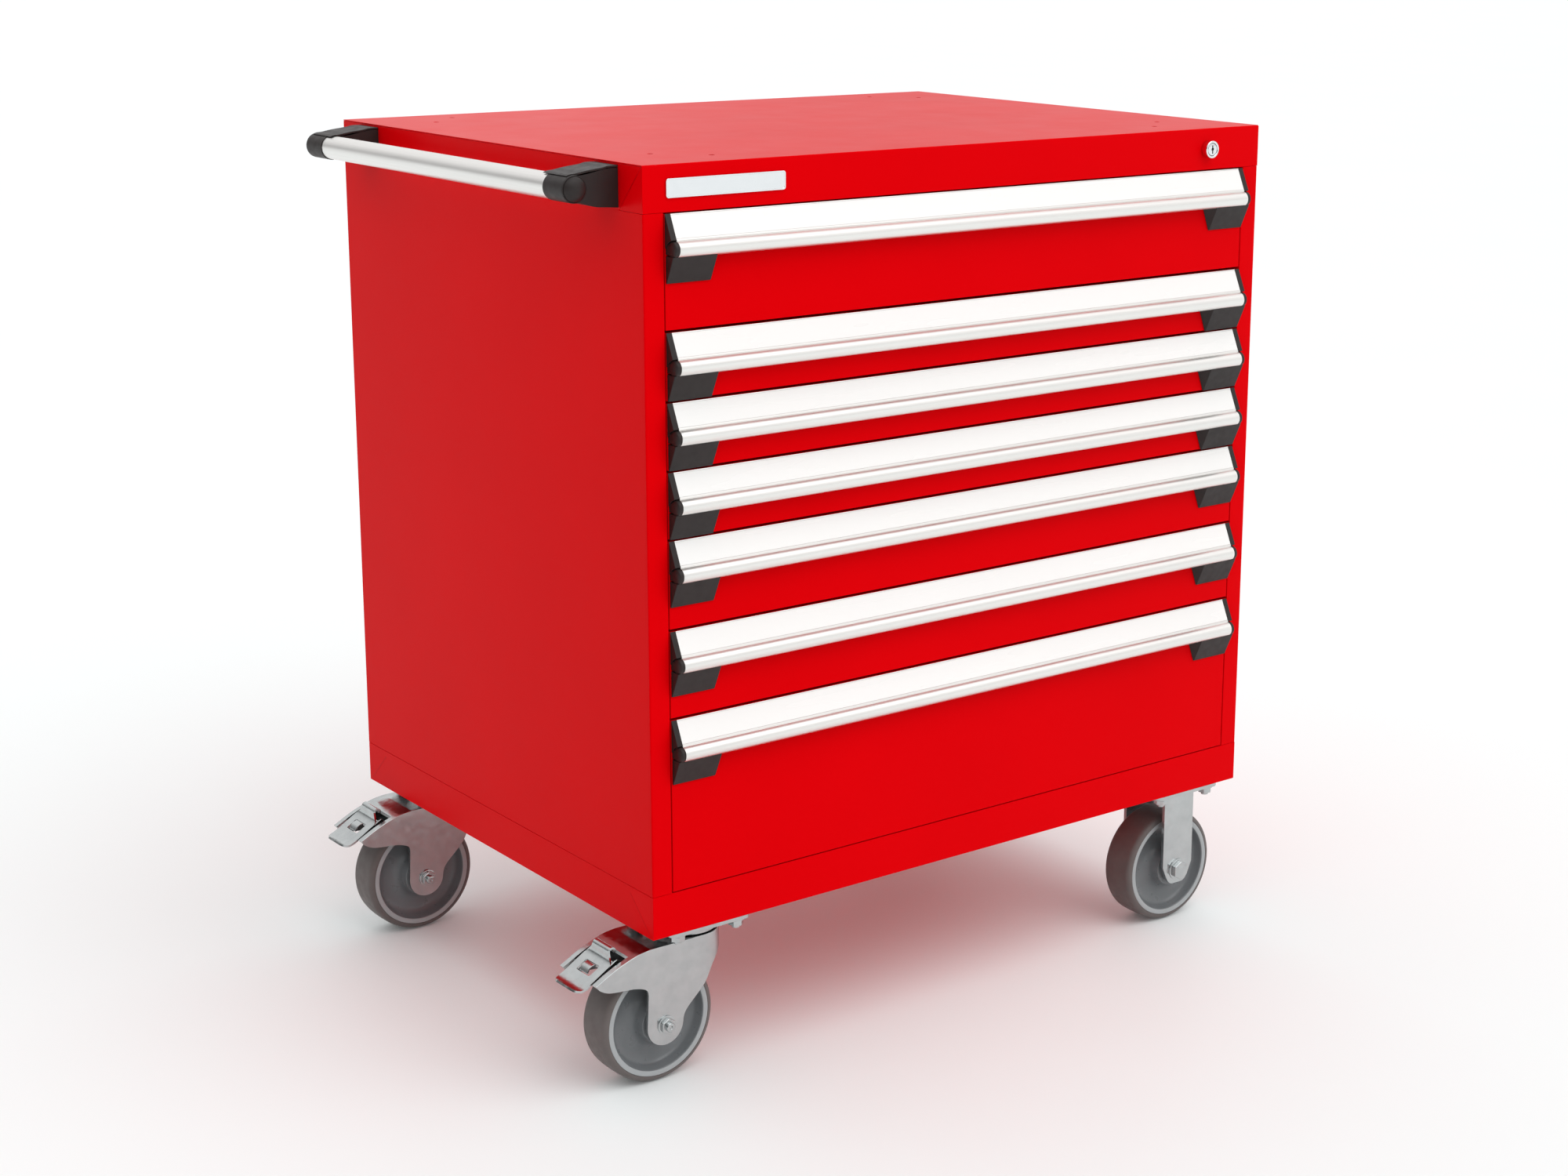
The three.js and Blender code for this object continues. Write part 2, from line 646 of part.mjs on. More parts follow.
// Arm, sleeve and domed end of one handle bracket, at the front end.
function handleBracket(name, isFront) {
  const axisZ = CASE_H - TUBE_DROP;
  const rootTop = CASE_H - ARM_ROOT_TOP;
  const rootFoot = rootTop - ARM_ROOT_H;
  const outline = [
    [-SEAM, rootFoot],
    [-TUBE_X + SLEEVE_R, axisZ - SLEEVE_R - 2],
    [-TUBE_X, axisZ - SLEEVE_R],
    [-TUBE_X, axisZ + SLEEVE_R],
    [-ARM_SHOULDER, rootTop],
    [-SEAM, rootTop],
  ];
  const arm = prismY(outline, ARM_START, ARM_START + ARM_W);
  const sleeveOutline = circle(-TUBE_X, axisZ, SLEEVE_R, TUBE_SEGMENTS);
  const sleeve = prismY(sleeveOutline, SLEEVE_START, SLEEVE_START + SLEEVE_L);
  const domeProfile = arc(0, 0, SLEEVE_R, 0, 90, 4).map(([r, y]) => [r, (-y * DOME_H) / SLEEVE_R]);
  const dome = turned([...domeProfile, [0, 1], [SLEEVE_R, 1]].reverse(), TUBE_SEGMENTS);
  const boreR = TUBE_R + BORE_CLEARANCE;
  const boreStart = TUBE_END - BORE_CLEARANCE;
  const bore = prismY(circle(-TUBE_X, axisZ, boreR, TUBE_SEGMENTS), boreStart, ARM_START + ARM_W + 1);
  const body = cut(join(arm, sleeve, dome.translate(-TUBE_X, SLEEVE_START, axisZ)), bore);
  const whole = isFront ? body : body.mirror([0, 1, 0]).translate(0, CASE_D, 0);
  return part(name, whole, plastic);
}

// ---- Casters: each is built about its own vertical axis, z = 0 under the base ----

function mountPlate() {
  const half = [MOUNT_PLATE_X / 2, MOUNT_PLATE_Y / 2];
  const plate = box(-half[0], half[0], -half[1], half[1], -MOUNT_PLATE_T, -SEAM);
  const holes = [];
  for (const x of [-MOUNT_HOLES_X / 2, MOUNT_HOLES_X / 2]) {
    for (const y of [-MOUNT_HOLES_Y / 2, MOUNT_HOLES_Y / 2]) {
      holes.push(prismZ(circle(x, y, MOUNT_HOLE_R, 12), -MOUNT_PLATE_T - 1, 1));
    }
  }
  return cut(plate, ...holes);
}

// Wheel on its axle line, with hub, thin web, rim and a tread with rounded shoulders.
function wheel(name) {
  const facet = 1 / Math.cos(Math.PI / WHEEL_SEGMENTS);
  const outer = WHEEL_R * facet;
  const half = WHEEL_W / 2;
  const bore = AXLE_R + AXLE_CLEARANCE;
  const side = [
    [bore, HUB_HALF],
    [HUB_R, HUB_HALF],
    [HUB_R + 2, WEB_T / 2],
    [RIM_R - 4, WEB_T / 2],
    [RIM_R, half],
    [outer - SHOULDER, half],
    [outer, half - SHOULDER],
  ];
  const profile = [...side.map(([r, y]) => [r, -y]), ...side.reverse()];
  return part(name, turned(profile, WHEEL_SEGMENTS, Math.PI / WHEEL_SEGMENTS), tread);
}

function swivelPlate(name) {
  const race = prismZ(circle(0, 0, RACE_R, 32), -MOUNT_PLATE_T - RACE_H, -MOUNT_PLATE_T / 2);
  const hole = prismZ(circle(0, 0, KINGPIN_R + KINGPIN_CLEARANCE, 16), CROWN_BOTTOM, 1);
  return part(name, cut(join(mountPlate(), race), hole), zinc);
}

function kingpin(name) {
  const nutTop = CROWN_BOTTOM - SWIVEL_GAP;
  const shank = prismZ(circle(0, 0, KINGPIN_R), nutTop - KINGPIN_NUT_H / 2, -SEAM);
  const nut = prismZ(circle(0, 0, KINGPIN_NUT_R, 6), nutTop - KINGPIN_NUT_H, nutTop);
  return part(name, join(shank, nut), zinc);
}

// Pressed fork: two legs joined by a round nose and a crown, with cheeks that carry the pedal.
function swivelFork(name) {
  const half = FORK_OUTER_W / 2;
  const fromAxle = ([x, z]) => [x - TRAIL, z];
  const crownEnd = -TRAIL - CROWN_REACH;
  const cheekEnd = crownEnd - RAMP_L * 2 / 3;
  const side = [
    [half + 1, CROWN_TOP],
    [half + 1, -NOSE_H],
    ...LEG_NECK,
    ...arc(-TRAIL, AXLE_Z, LEG_END_R, 45, -180, 10),
    [-TRAIL - LEG_END_R, -CHEEK_ROOT_Z],
    ...CHEEK_EDGE.map(fromAxle),
    [cheekEnd, CROWN_TOP - CHEEK_DROP],
    [crownEnd, CROWN_TOP],
  ];
  const tail = 2 * crownEnd;
  const plan = (radius) => [[tail, -radius], ...arc(0, 0, radius, -90, 90, 12), [tail, radius]];
  const foot = AXLE_Z - 2 * LEG_END_R;
  const wall = cut(prismZ(plan(half), foot, 0), prismZ(plan(LEG_INNER), foot - 1, 1));
  const crownHalf = half - CROWN_INSET;
  const crownPlan = [[crownEnd, -crownHalf], ...arc(0, 0, crownHalf, -90, 90, 12), [crownEnd, crownHalf]];
  const crown = prismZ(crownPlan, CROWN_BOTTOM, CROWN_TOP);
  const ramp = [
    [crownEnd + 2, CROWN_TOP],
    [crownEnd + 2, CROWN_BOTTOM],
    [crownEnd - RAMP_L, CROWN_BOTTOM - RAMP_DROP - FORK_SHEET],
    [crownEnd - RAMP_L, CROWN_BOTTOM - RAMP_DROP],
    [crownEnd, CROWN_TOP],
  ];
  const slope = prismY(ramp, -crownHalf, crownHalf);
  const pinHole = prismZ(circle(0, 0, KINGPIN_R + 2 * KINGPIN_CLEARANCE, 16), foot, 1);
  const axleHole = prismY(circle(-TRAIL, AXLE_Z, AXLE_R + AXLE_CLEARANCE), -half - 1, half + 1);
  const shell = wall.intersect(prismY(side, -half - 1, half + 1));
  return part(name, cut(join(shell, crown, slope), pinHole, axleHole), zinc);
}

// Axle with a low head on each side: a flat rivet head, or a hexagon bolt head and nut.
function axle(name, legOuter, headR, headT, sides) {
  const shank = prismY(circle(0, 0, AXLE_R), -legOuter - SEAM - headT / 2, legOuter + SEAM + headT / 2);
  const head = circle(0, 0, headR, sides, sides === 6 ? 30 : 0);
  const heads = [
    prismY(head, legOuter + SEAM, legOuter + SEAM + headT),
    prismY(head, -legOuter - SEAM - headT, -legOuter - SEAM),
  ];
  return part(name, join(shank, ...heads), zinc);
}

// Brake pedal: bent plate with an upturned inner edge, a foot lip, two ears and the pivot pin.
function brakePedal(name) {
  const fromAxle = ([x, z]) => [x - TRAIL, z];
  const upper = PEDAL_PLATE.map(fromAxle);
  const lower = upper.map(([x, z]) => [x, z - PEDAL_T]).reverse();
  const plate = prismY([...upper, ...lower], -PEDAL_HALF, PEDAL_HALF);
  const ear = PEDAL_EAR.map(fromAxle);
  const ears = [
    prismY(ear, -PEDAL_HALF, -PEDAL_HALF + PEDAL_EAR_T),
    prismY(ear, PEDAL_HALF - PEDAL_EAR_T, PEDAL_HALF),
  ];
  const pinHalf = LEG_INNER - SEAM;
  const [pinX, pinZ] = fromAxle(PEDAL_PIVOT);
  const pin = prismY(circle(pinX, pinZ, PEDAL_PIN_R, 12), -pinHalf, pinHalf);
  const { near, far, half } = PEDAL_SLOT;
  const slot = box(-TRAIL - far, -TRAIL - near, -half, half, AXLE_Z, 0);
  return part(name, join(cut(plate, slot), ...ears, pin), zinc);
}

function rigidFork(name) {
  const half = FORK_OUTER_W / 2;
  const reach = RIGID_LEG_W / 2;
  const end = AXLE_Z - RIGID_LEG_END;
  const corner = reach - RIGID_CHAMFER;
  const chamfer = [
    [reach, end + RIGID_CHAMFER_H],
    [corner, end + RIGID_ROUND.z],
    [corner - RIGID_ROUND.x, end],
  ];
  const outline = [
    [reach, -MOUNT_PLATE_T / 2],
    ...chamfer,
    ...chamfer.map(([x, z]) => [-x, z]).reverse(),
    [-reach, -MOUNT_PLATE_T / 2],
  ];
  const legInner = half - RIGID_LEG_T;
  const between = box(-reach - 1, reach + 1, -legInner, legInner, end - 1, -2 * MOUNT_PLATE_T);
  const legs = cut(prismY(outline, -half, half), between);
  const axleHole = prismY(circle(0, AXLE_Z, AXLE_R + AXLE_CLEARANCE), -half - 1, half + 1);
  return part(name, cut(join(mountPlate(), legs), axleHole), zinc);
}

function swivelCaster(end) {
  const legOuter = FORK_OUTER_W / 2;
  return group(
    swivelPlate(`swivel_plate_${end}`),
    kingpin(`kingpin_${end}`),
    swivelFork(`swivel_fork_${end}`),
    placed(wheel(`swivel_wheel_${end}`), -TRAIL, 0, AXLE_Z),
    placed(axle(`swivel_axle_${end}`, legOuter, RIVET_R, RIVET_T, 16), -TRAIL, 0, AXLE_Z),
    brakePedal(`brake_pedal_${end}`),
  );
}

function rigidCaster(end) {
  const legOuter = FORK_OUTER_W / 2;
  return group(
    rigidFork(`rigid_fork_${end}`),
    placed(wheel(`rigid_wheel_${end}`), 0, 0, AXLE_Z),
    placed(axle(`rigid_axle_${end}`, legOuter, BOLT_HEAD_R, BOLT_HEAD_T, 6), 0, 0, AXLE_Z),
  );
}

// ---- Assembly ----

const chest = group(
  sidePanel("side_panel_left", true),
  sidePanel("side_panel_right", false),
  topCover(),
  backPanel(),
  baseTray(),
  runnerWall("runner_wall_left", true),
  runnerWall("runner_wall_right", false),
  lockBarrel(),
  lockPlug(),
  lockBar(),
  blankPlate(),
  handleTube(),
  handleBracket("handle_bracket_front", true),
  handleBracket("handle_bracket_rear", false),
);

for (const item of DRAWERS) {
  chest.add(drawer(item));
  chest.add(middleSlide(`slide_${item.number}_left`, true, item.z));
  chest.add(middleSlide(`slide_${item.number}_right`, false, item.z));
}

for (const [end, y] of [["front", CASTER_FROM_END], ["rear", CASE_D - CASTER_FROM_END]]) {
  chest.add(placed(swivelCaster(end), CASTER_FROM_LEFT, y, 0));
  chest.add(placed(rigidCaster(end), CASE_W - CASTER_FROM_RIGHT, y, 0));
}

// Origin at the middle of the footprint, on the floor.
const extent = new THREE.Box3().setFromObject(chest);
const middle = extent.getCenter(new THREE.Vector3());
chest.position.set(-middle.x, -middle.y, -extent.min.z);

export default chest;
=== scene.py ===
"""A rolling tool chest in red powder coat, dressed round its fixed frame.

The frame gives every place and outer size. Each sub-assembly is a class whose fields are its own
sizes in millimetres; it builds its pieces in the frame's metres and dresses them in their finishes.
"""

import logging
import math
from dataclasses import dataclass
from enum import Enum
from typing import Any, Callable, Mapping, Optional, Sequence

import bmesh
import bpy
from mathutils import Matrix, Vector


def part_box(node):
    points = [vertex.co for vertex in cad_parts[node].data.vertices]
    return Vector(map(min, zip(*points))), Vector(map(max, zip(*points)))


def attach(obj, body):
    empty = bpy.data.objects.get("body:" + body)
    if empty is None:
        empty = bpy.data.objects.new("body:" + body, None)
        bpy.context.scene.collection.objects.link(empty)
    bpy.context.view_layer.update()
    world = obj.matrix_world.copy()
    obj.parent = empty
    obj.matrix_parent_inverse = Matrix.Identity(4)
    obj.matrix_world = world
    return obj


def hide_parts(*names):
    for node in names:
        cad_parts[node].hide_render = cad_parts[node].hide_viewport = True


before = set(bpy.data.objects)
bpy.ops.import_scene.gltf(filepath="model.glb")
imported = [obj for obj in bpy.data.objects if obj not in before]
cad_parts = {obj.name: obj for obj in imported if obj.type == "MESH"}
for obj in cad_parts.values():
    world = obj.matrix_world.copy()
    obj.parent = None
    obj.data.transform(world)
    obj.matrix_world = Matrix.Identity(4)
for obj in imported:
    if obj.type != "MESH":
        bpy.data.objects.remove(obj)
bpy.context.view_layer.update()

LOG = logging.getLogger("tool_chest")
MM = 0.001
SEAM = 0.3  # gap the frame keeps between touching pieces
ENDS = ("front", "rear")
SIDES = ("left", "right")
Point = tuple[float, float]
Outline = list[tuple[float, ...]]
BMesh = bmesh.types.BMesh
BMEdge = bmesh.types.BMEdge
Tree = bpy.types.NodeTree
Socket = bpy.types.NodeSocket


class Axis(Enum):
    """The direction a prism or a turned piece runs along."""

    X = 0
    Y = 1
    Z = 2


class Cut(Enum):
    """How one solid is combined with another."""

    TAKE_AWAY = "DIFFERENCE"
    KEEP_COMMON = "INTERSECT"


# ---- Finishes ----


def linear(code: str) -> tuple[float, float, float, float]:
    """Turns an sRGB hex colour to linear.

    Args:
        code: six hex digits.

    Returns:
        Linear red, green, blue and an alpha of one.
    """
    channels = [int(code[i : i + 2], 16) / 255 for i in (0, 2, 4)]
    low = [c / 12.92 if c <= 0.04045 else ((c + 0.055) / 1.055) ** 2.4 for c in channels]
    return (low[0], low[1], low[2], 1.0)


def per_metre(size_mm: float) -> float:
    """Returns the pattern scale that repeats once every size_mm."""
    return 1000 / size_mm


def add_node(
    tree: Tree,
    kind: str,
    settings: Optional[Mapping[Any, Any]] = None,
    links: Optional[Mapping[Any, Socket]] = None,
) -> bpy.types.Node:
    """Adds a node with its settings and links.

    Args:
        tree: the node tree.
        kind: the node's type.
        settings: values by attribute name, or by the name or number of an input.
        links: source sockets by the name or number of an input.

    Returns:
        The new node.
    """
    node = tree.nodes.new(kind)
    for key, value in (settings or {}).items():
        if isinstance(key, str) and hasattr(node, key):
            setattr(node, key, value)
        else:
            node.inputs[key].default_value = value
    for key, source in (links or {}).items():
        tree.links.new(source, node.inputs[key])
    return node


@dataclass(frozen=True)
class Pattern:
    """One noise pattern.

    Attributes:
        size_mm: size of its grain, larger along a stretched direction.
        detail: octaves of finer noise.
        stretch: how many times longer the grain is along X, Y and Z.
    """

    size_mm: float
    detail: float = 2.0
    stretch: tuple[float, float, float] = (1.0, 1.0, 1.0)

    def socket(self, tree: Tree) -> Socket:
        """Adds the pattern to a tree.

        Args:
            tree: the node tree.

        Returns:
            Its value socket.
        """
        where = add_node(tree, "ShaderNodeTexCoord")
        scale = tuple(1 / s for s in self.stretch)
        placed = add_node(tree, "ShaderNodeMapping", {"Scale": scale}, {"Vector": where.outputs["Object"]})
        grain = {"Scale": per_metre(self.size_mm), "Detail": self.detail}
        noise = add_node(tree, "ShaderNodeTexNoise", grain, {"Vector": placed.outputs["Vector"]})
        return noise.outputs["Fac"]


@dataclass(frozen=True)
class Finish:
    """A real material and its surface.

    Attributes:
        name: the material's name.
        slot: the record's material slot named for its pieces; nothing here fills it.
        colour: main sRGB colour.
        shade: second sRGB colour that the tone pattern drifts to.
        roughness: lowest and highest roughness.
        tone: pattern that moves the colour.
        wear: pattern that moves the roughness.
        grain: pattern of the surface's height.
        grain_mm: height of that grain.
        shader: values on the shader's own sockets.
    """

    name: str
    slot: str
    colour: str
    shade: str
    roughness: tuple[float, float]
    tone: Pattern
    wear: Pattern
    grain: Pattern
    grain_mm: float
    shader: tuple[tuple[str, Any], ...] = ()

    def material(self) -> bpy.types.Material:
        """Makes the material on first use.

        Returns:
            The material.
        """
        found = bpy.data.materials.get(self.name)
        if found is not None:
            return found
        made = bpy.data.materials.new(self.name)
        made.use_nodes = True
        tree = made.node_tree
        tree.nodes.clear()
        mix = {"data_type": "RGBA", 6: linear(self.colour), 7: linear(self.shade)}
        colour = add_node(tree, "ShaderNodeMix", mix, {0: self.tone.socket(tree)})
        span = {"From Min": 0.3, "From Max": 0.7, "To Min": self.roughness[0], "To Max": self.roughness[1]}
        rough = add_node(tree, "ShaderNodeMapRange", span, {"Value": self.wear.socket(tree)})
        height = {"Strength": 1.0, "Distance": self.grain_mm * MM}
        bump = add_node(tree, "ShaderNodeBump", height, {"Height": self.grain.socket(tree)})
        links = {"Base Color": colour.outputs[2], "Roughness": rough.outputs[0], "Normal": bump.outputs[0]}
        shader = add_node(tree, "ShaderNodeBsdfPrincipled", dict(self.shader), links)
        add_node(tree, "ShaderNodeOutputMaterial", None, {"Surface": shader.outputs["BSDF"]})
        return made


# Polyester powder coat on steel sheet, sprayed and baked. It flows almost level and leaves a faint
# orange peel a few millimetres across, glossy, with reflections that take some of the red.
POWDER_COAT = Finish(
    "powder_coated_steel", "red_powder_coat", "e20008", "d90007",
    roughness=(0.28, 0.31), grain_mm=0.012,
    tone=Pattern(180, 3), wear=Pattern(60, 3), grain=Pattern(3.2, 1.5),
    shader=(("IOR", 1.5), ("Specular IOR Level", 0.035), ("Specular Tint", linear("ff1418"))),
)

# The same coat inside the cabinet and on the drawer tubs, thinner and a little duller; on the carcase's mitre
# strips its darker red is painted shade.
POWDER_COAT_INNER_AND_SEAM_SHADE = Finish(
    "powder_coated_steel_inner_and_seam_shade", "red_powder_coat", "c80008", "bc0007",
    roughness=(0.36, 0.46), grain_mm=0.012,
    tone=Pattern(120, 3), wear=Pattern(50, 3), grain=Pattern(2.4, 1.5),
    shader=(("IOR", 1.5), ("Specular IOR Level", 0.15), ("Specular Tint", linear("ff2024"))),
)

# Extruded aluminium, etched and clear anodised: satin and pale, with die lines along its length.
ANODISED_RAIL = Finish(
    "anodised_aluminium_rail", "anodised_aluminium", "efedea", "e6e4e1",
    roughness=(0.3, 0.4), grain_mm=0.004,
    tone=Pattern(1.6, 3, (160, 1, 1)), wear=Pattern(0.9, 2, (220, 1, 1)), grain=Pattern(0.7, 2, (400, 1, 1)),
    shader=(("Metallic", 1.0),),
)

# The handle's drawn tube, anodised the same way, with its die lines along Y.
ANODISED_TUBE = Finish(
    "anodised_aluminium_tube", "anodised_aluminium", "f0eeec", "e4e2df",
    roughness=(0.32, 0.42), grain_mm=0.004,
    tone=Pattern(1.6, 3, (1, 160, 1)), wear=Pattern(0.9, 2, (1, 220, 1)), grain=Pattern(0.7, 2, (1, 400, 1)),
    shader=(("Metallic", 1.0),),
)

# Blank white card behind a clear PVC cover in the pull's label channel: bright, smooth, satin.
LABEL_STRIP = Finish(
    "label_strip_pvc", "anodised_aluminium", "f8f6f4", "f3f1ef",
    roughness=(0.22, 0.3), grain_mm=0.01,
    tone=Pattern(90, 2, (6, 1, 1)), wear=Pattern(25, 2, (8, 1, 1)), grain=Pattern(14, 1, (6, 1, 1)),
    shader=(("IOR", 1.53), ("Specular IOR Level", 0.5)),
)

# Glass-filled nylon from a spark-eroded mould: dark warm grey with a fine dry grain. The real
# grain is about 0.1 mm and is drawn at 0.6 mm so that it shows.
BLACK_NYLON = Finish(
    "glass_filled_nylon", "black_nylon", "1f1817", "28201f",
    roughness=(0.42, 0.55), grain_mm=0.03,
    tone=Pattern(22, 3), wear=Pattern(9, 3), grain=Pattern(0.6, 2),
    shader=(("IOR", 1.53), ("Specular IOR Level", 0.3)),
)

# Pressed steel, barrel zinc plated and blue passivated: bright, a little cloudy, with faint
# scuffs from the tumbling.
BRIGHT_ZINC = Finish(
    "zinc_plated_steel", "bright_zinc_plate", "c3c6c6", "a9adae",
    roughness=(0.12, 0.26), grain_mm=0.5,
    tone=Pattern(14, 4), wear=Pattern(8, 4), grain=Pattern(22, 3),
    shader=(("Metallic", 1.0),),
)

# Nickel and chrome plate on polished zinc alloy: mirror bright, with a trace of polishing haze.
CHROME = Finish(
    "chrome_plated_zinc_alloy", "chrome_plate", "e9eaec", "e2e4e6",
    roughness=(0.04, 0.1), grain_mm=0.002,
    tone=Pattern(12, 2), wear=Pattern(4, 3), grain=Pattern(6, 1),
    shader=(("Metallic", 1.0),),
)

# Galvanised, roll-formed slide steel: mid grey, satin, drawn out along the slide.
SLIDE_STEEL = Finish(
    "galvanised_slide_steel", "galvanised_steel", "b9bdbf", "a5aaad",
    roughness=(0.3, 0.42), grain_mm=0.01,
    tone=Pattern(6, 4, (1, 5, 1)), wear=Pattern(3, 3, (1, 30, 1)), grain=Pattern(2, 3, (1, 40, 1)),
    shader=(("Metallic", 1.0),),
)

# Injection-moulded grey thermoplastic rubber tread: matt, warm dark grey, with the dust of use.
RUBBER_TREAD = Finish(
    "moulded_rubber_tread", "grey_rubber_tread", "5c5452", "6a6260",
    roughness=(0.42, 0.6), grain_mm=0.03,
    tone=Pattern(16, 4), wear=Pattern(10, 3), grain=Pattern(0.9, 2),
    shader=(("IOR", 1.52), ("Specular IOR Level", 0.4)),
)

# Moulded polypropylene wheel core: mid grey, semi-gloss, with faint flow marks.
WHEEL_CORE = Finish(
    "grey_polypropylene_core", "grey_rubber_tread", "76797b", "6a6d70",
    roughness=(0.26, 0.38), grain_mm=0.012,
    tone=Pattern(20, 3), wear=Pattern(10, 3), grain=Pattern(1.4, 2),
    shader=(("IOR", 1.49), ("Specular IOR Level", 0.5)),
)

# The same moulding's rim face against the tread's edge, a little drier, painted lighter than the core: a
# painted highlight where the ring faces the light.
WHEEL_RIM_PAINTED_HIGHLIGHT = Finish(
    "grey_polypropylene_rim_painted_highlight", "grey_rubber_tread", "a9acad", "9da0a2",
    roughness=(0.3, 0.42), grain_mm=0.012,
    tone=Pattern(16, 3), wear=Pattern(6, 3), grain=Pattern(1.2, 2),
    shader=(("IOR", 1.49), ("Specular IOR Level", 0.5)),
)

# Matt painted studio floor.
STUDIO_FLOOR = Finish(
    "studio_floor", "", "ecf0f0", "eaeeee",
    roughness=(0.5, 0.6), grain_mm=0.02,
    tone=Pattern(900, 3), wear=Pattern(300, 2), grain=Pattern(40, 2),
    shader=(("Specular IOR Level", 0.2), ("Emission Color", linear("ffffff")), ("Emission Strength", 0.05)),
)


# ---- Mesh work, in millimetres ----


def arc(u: float, v: float, radius: float, start: float, end: float, steps: int) -> Outline:
    """Points on an arc.

    Args:
        u: centre's first coordinate.
        v: centre's second coordinate.
        radius: the radius.
        start: first angle in degrees.
        end: last angle in degrees.
        steps: number of chords.

    Returns:
        The points, both ends included.
    """
    turns = [math.radians(start + (end - start) * i / steps) for i in range(steps + 1)]
    return [(u + radius * math.cos(a), v + radius * math.sin(a)) for a in turns]


def circle(u: float, v: float, radius: float, steps: int = 48) -> Outline:
    """Returns a closed circle's points."""
    return arc(u, v, radius, 0, 360, steps)[:-1]


def curve(points: Sequence[Sequence[float]], steps: int = 6) -> list[tuple[float, ...]]:
    """A smooth open curve through points.

    Args:
        points: the points it passes through, each with any number of coordinates.
        steps: pieces between two points.

    Returns:
        The curve's points, both ends included.
    """
    ends = [points[0], *points, points[-1]]
    made = []
    for a, b, c, d in zip(ends, ends[1:], ends[2:], ends[3:]):
        for i in range(steps):
            t = i / steps
            weights = (
                -0.5 * t + t**2 - 0.5 * t**3,
                1 - 2.5 * t**2 + 1.5 * t**3,
                0.5 * t + 2 * t**2 - 1.5 * t**3,
                -0.5 * t**2 + 0.5 * t**3,
            )
            made.append(tuple(sum(w * p[k] for w, p in zip(weights, (a, b, c, d))) for k in range(len(b))))
    made.append(tuple(points[-1]))
    return made


def rounded_rectangle(half_u: float, half_v: float, radius: float) -> Outline:
    """A rectangle about the origin with round corners.

    Args:
        half_u: half its first side.
        half_v: half its second side.
        radius: the corners' radius.

    Returns:
        Its closed outline.
    """
    corners = ((1, 1, 0), (-1, 1, 90), (-1, -1, 180), (1, -1, 270))
    points: Outline = []
    for su, sv, start in corners:
        points += arc(su * (half_u - radius), sv * (half_v - radius), radius, start, start + 90, 6)
    return points


def lift(axis: Axis, u: float, v: float, along: float) -> Vector:
    """Places an outline's point in space.

    Args:
        axis: the prism's direction.
        u: first coordinate of the outline (Y for a prism along X, otherwise X).
        v: second coordinate (Y for a prism along Z, otherwise Z).
        along: place along the axis.

    Returns:
        The point.
    """
    return {Axis.X: Vector((along, u, v)), Axis.Y: Vector((u, along, v)), Axis.Z: Vector((u, v, along))}[axis]


def skinned(rings: Sequence[Sequence[Any]], wraps: bool = False) -> BMesh:
    """Skins a row of closed rings into one closed mesh.

    Args:
        rings: each ring's points, all of one number, or a single point at a tip.
        wraps: True where the last ring joins the first. Otherwise both ends are capped.

    Returns:
        The mesh.
    """
    body = bmesh.new()
    loops = [[body.verts.new(point) for point in ring] for ring in rings]
    steps = max(len(loop) for loop in loops)
    pairs = list(zip(loops, loops[1:]))
    if wraps:
        pairs.append((loops[-1], loops[0]))
    else:
        for loop in (loops[0], loops[-1]):
            if len(loop) > 2:
                body.faces.new(loop)
    for low, high in pairs:
        for i in range(steps):
            j = (i + 1) % steps
            corners = (low[i % len(low)], low[j % len(low)], high[j % len(high)], high[i % len(high)])
            unique = list(dict.fromkeys(corners))
            if len(unique) > 2:
                body.faces.new(unique)
    bmesh.ops.recalc_face_normals(body, faces=body.faces)
    return body


def prism(outline: Outline, axis: Axis, low: float, high: float) -> BMesh:
    """Returns a straight prism with a closed section, from low to high along its axis."""
    return skinned([[lift(axis, u, v, end) for u, v in outline] for end in (low, high)])


def turned(profile: Outline, axis: Axis, steps: int = 72) -> BMesh:
    """A piece turned about an axis through the origin.

    Args:
        profile: (radius, place along the axis) points. It closes on itself unless it starts and
            ends on the axis.
        axis: the axis.
        steps: segments round the axis.

    Returns:
        The closed mesh.
    """
    rings = []
    for radius, along in profile:
        points = circle(0, 0, radius, steps) if radius > 1e-6 else [(0, 0)]
        rings.append([lift(axis, u, v, along) for u, v in points])
    return skinned(rings, wraps=len(rings[0]) > 1)


def spun(rim: Outline, axis: Axis, steps: int = 72) -> BMesh:
    """Returns a solid turned piece whose flat ends reach the axis."""
    return turned([(0, rim[0][1]), *rim, (0, rim[-1][1])], axis, steps)


def tray(low: Sequence[float], high: Sequence[float], sheet: float, open_top: bool) -> BMesh:
    """A folded pan: a box of sheet with one open face.

    Args:
        low: its lowest corner.
        high: its highest corner.
        sheet: the sheet's thickness.
        open_top: True where the top is open, False where the bottom is.

    Returns:
        The closed mesh of the pan's sheet.
    """
    shut, mouth = (low[2], high[2]) if open_top else (high[2], low[2])
    floor = shut + sheet if open_top else shut - sheet
    rings = []
    for inset, z in ((0, shut), (0, mouth), (sheet, mouth), (sheet, floor)):
        x0, y0, x1, y1 = low[0] + inset, low[1] + inset, high[0] - inset, high[1] - inset
        rings.append([(x0, y0, z), (x1, y0, z), (x1, y1, z), (x0, y1, z)])
    return skinned(rings)


def ribbon(path: Sequence[Sequence[float]], sheet: float) -> BMesh:
    """A bent strip of sheet.

    Args:
        path: (x, z, half width) along its upper face, with the sheet on the path's left.
        sheet: its thickness.

    Returns:
        The closed mesh.
    """
    rings = []
    for i, (x, z, half) in enumerate(path):
        before, after = path[max(i - 1, 0)], path[min(i + 1, len(path) - 1)]
        run = Vector((after[0] - before[0], after[1] - before[1])).normalized() * sheet
        under_x, under_z = x - run.y, z + run.x
        rings.append([(x, half, z), (x, -half, z), (under_x, -half, under_z), (under_x, half, under_z)])
    return skinned(rings)


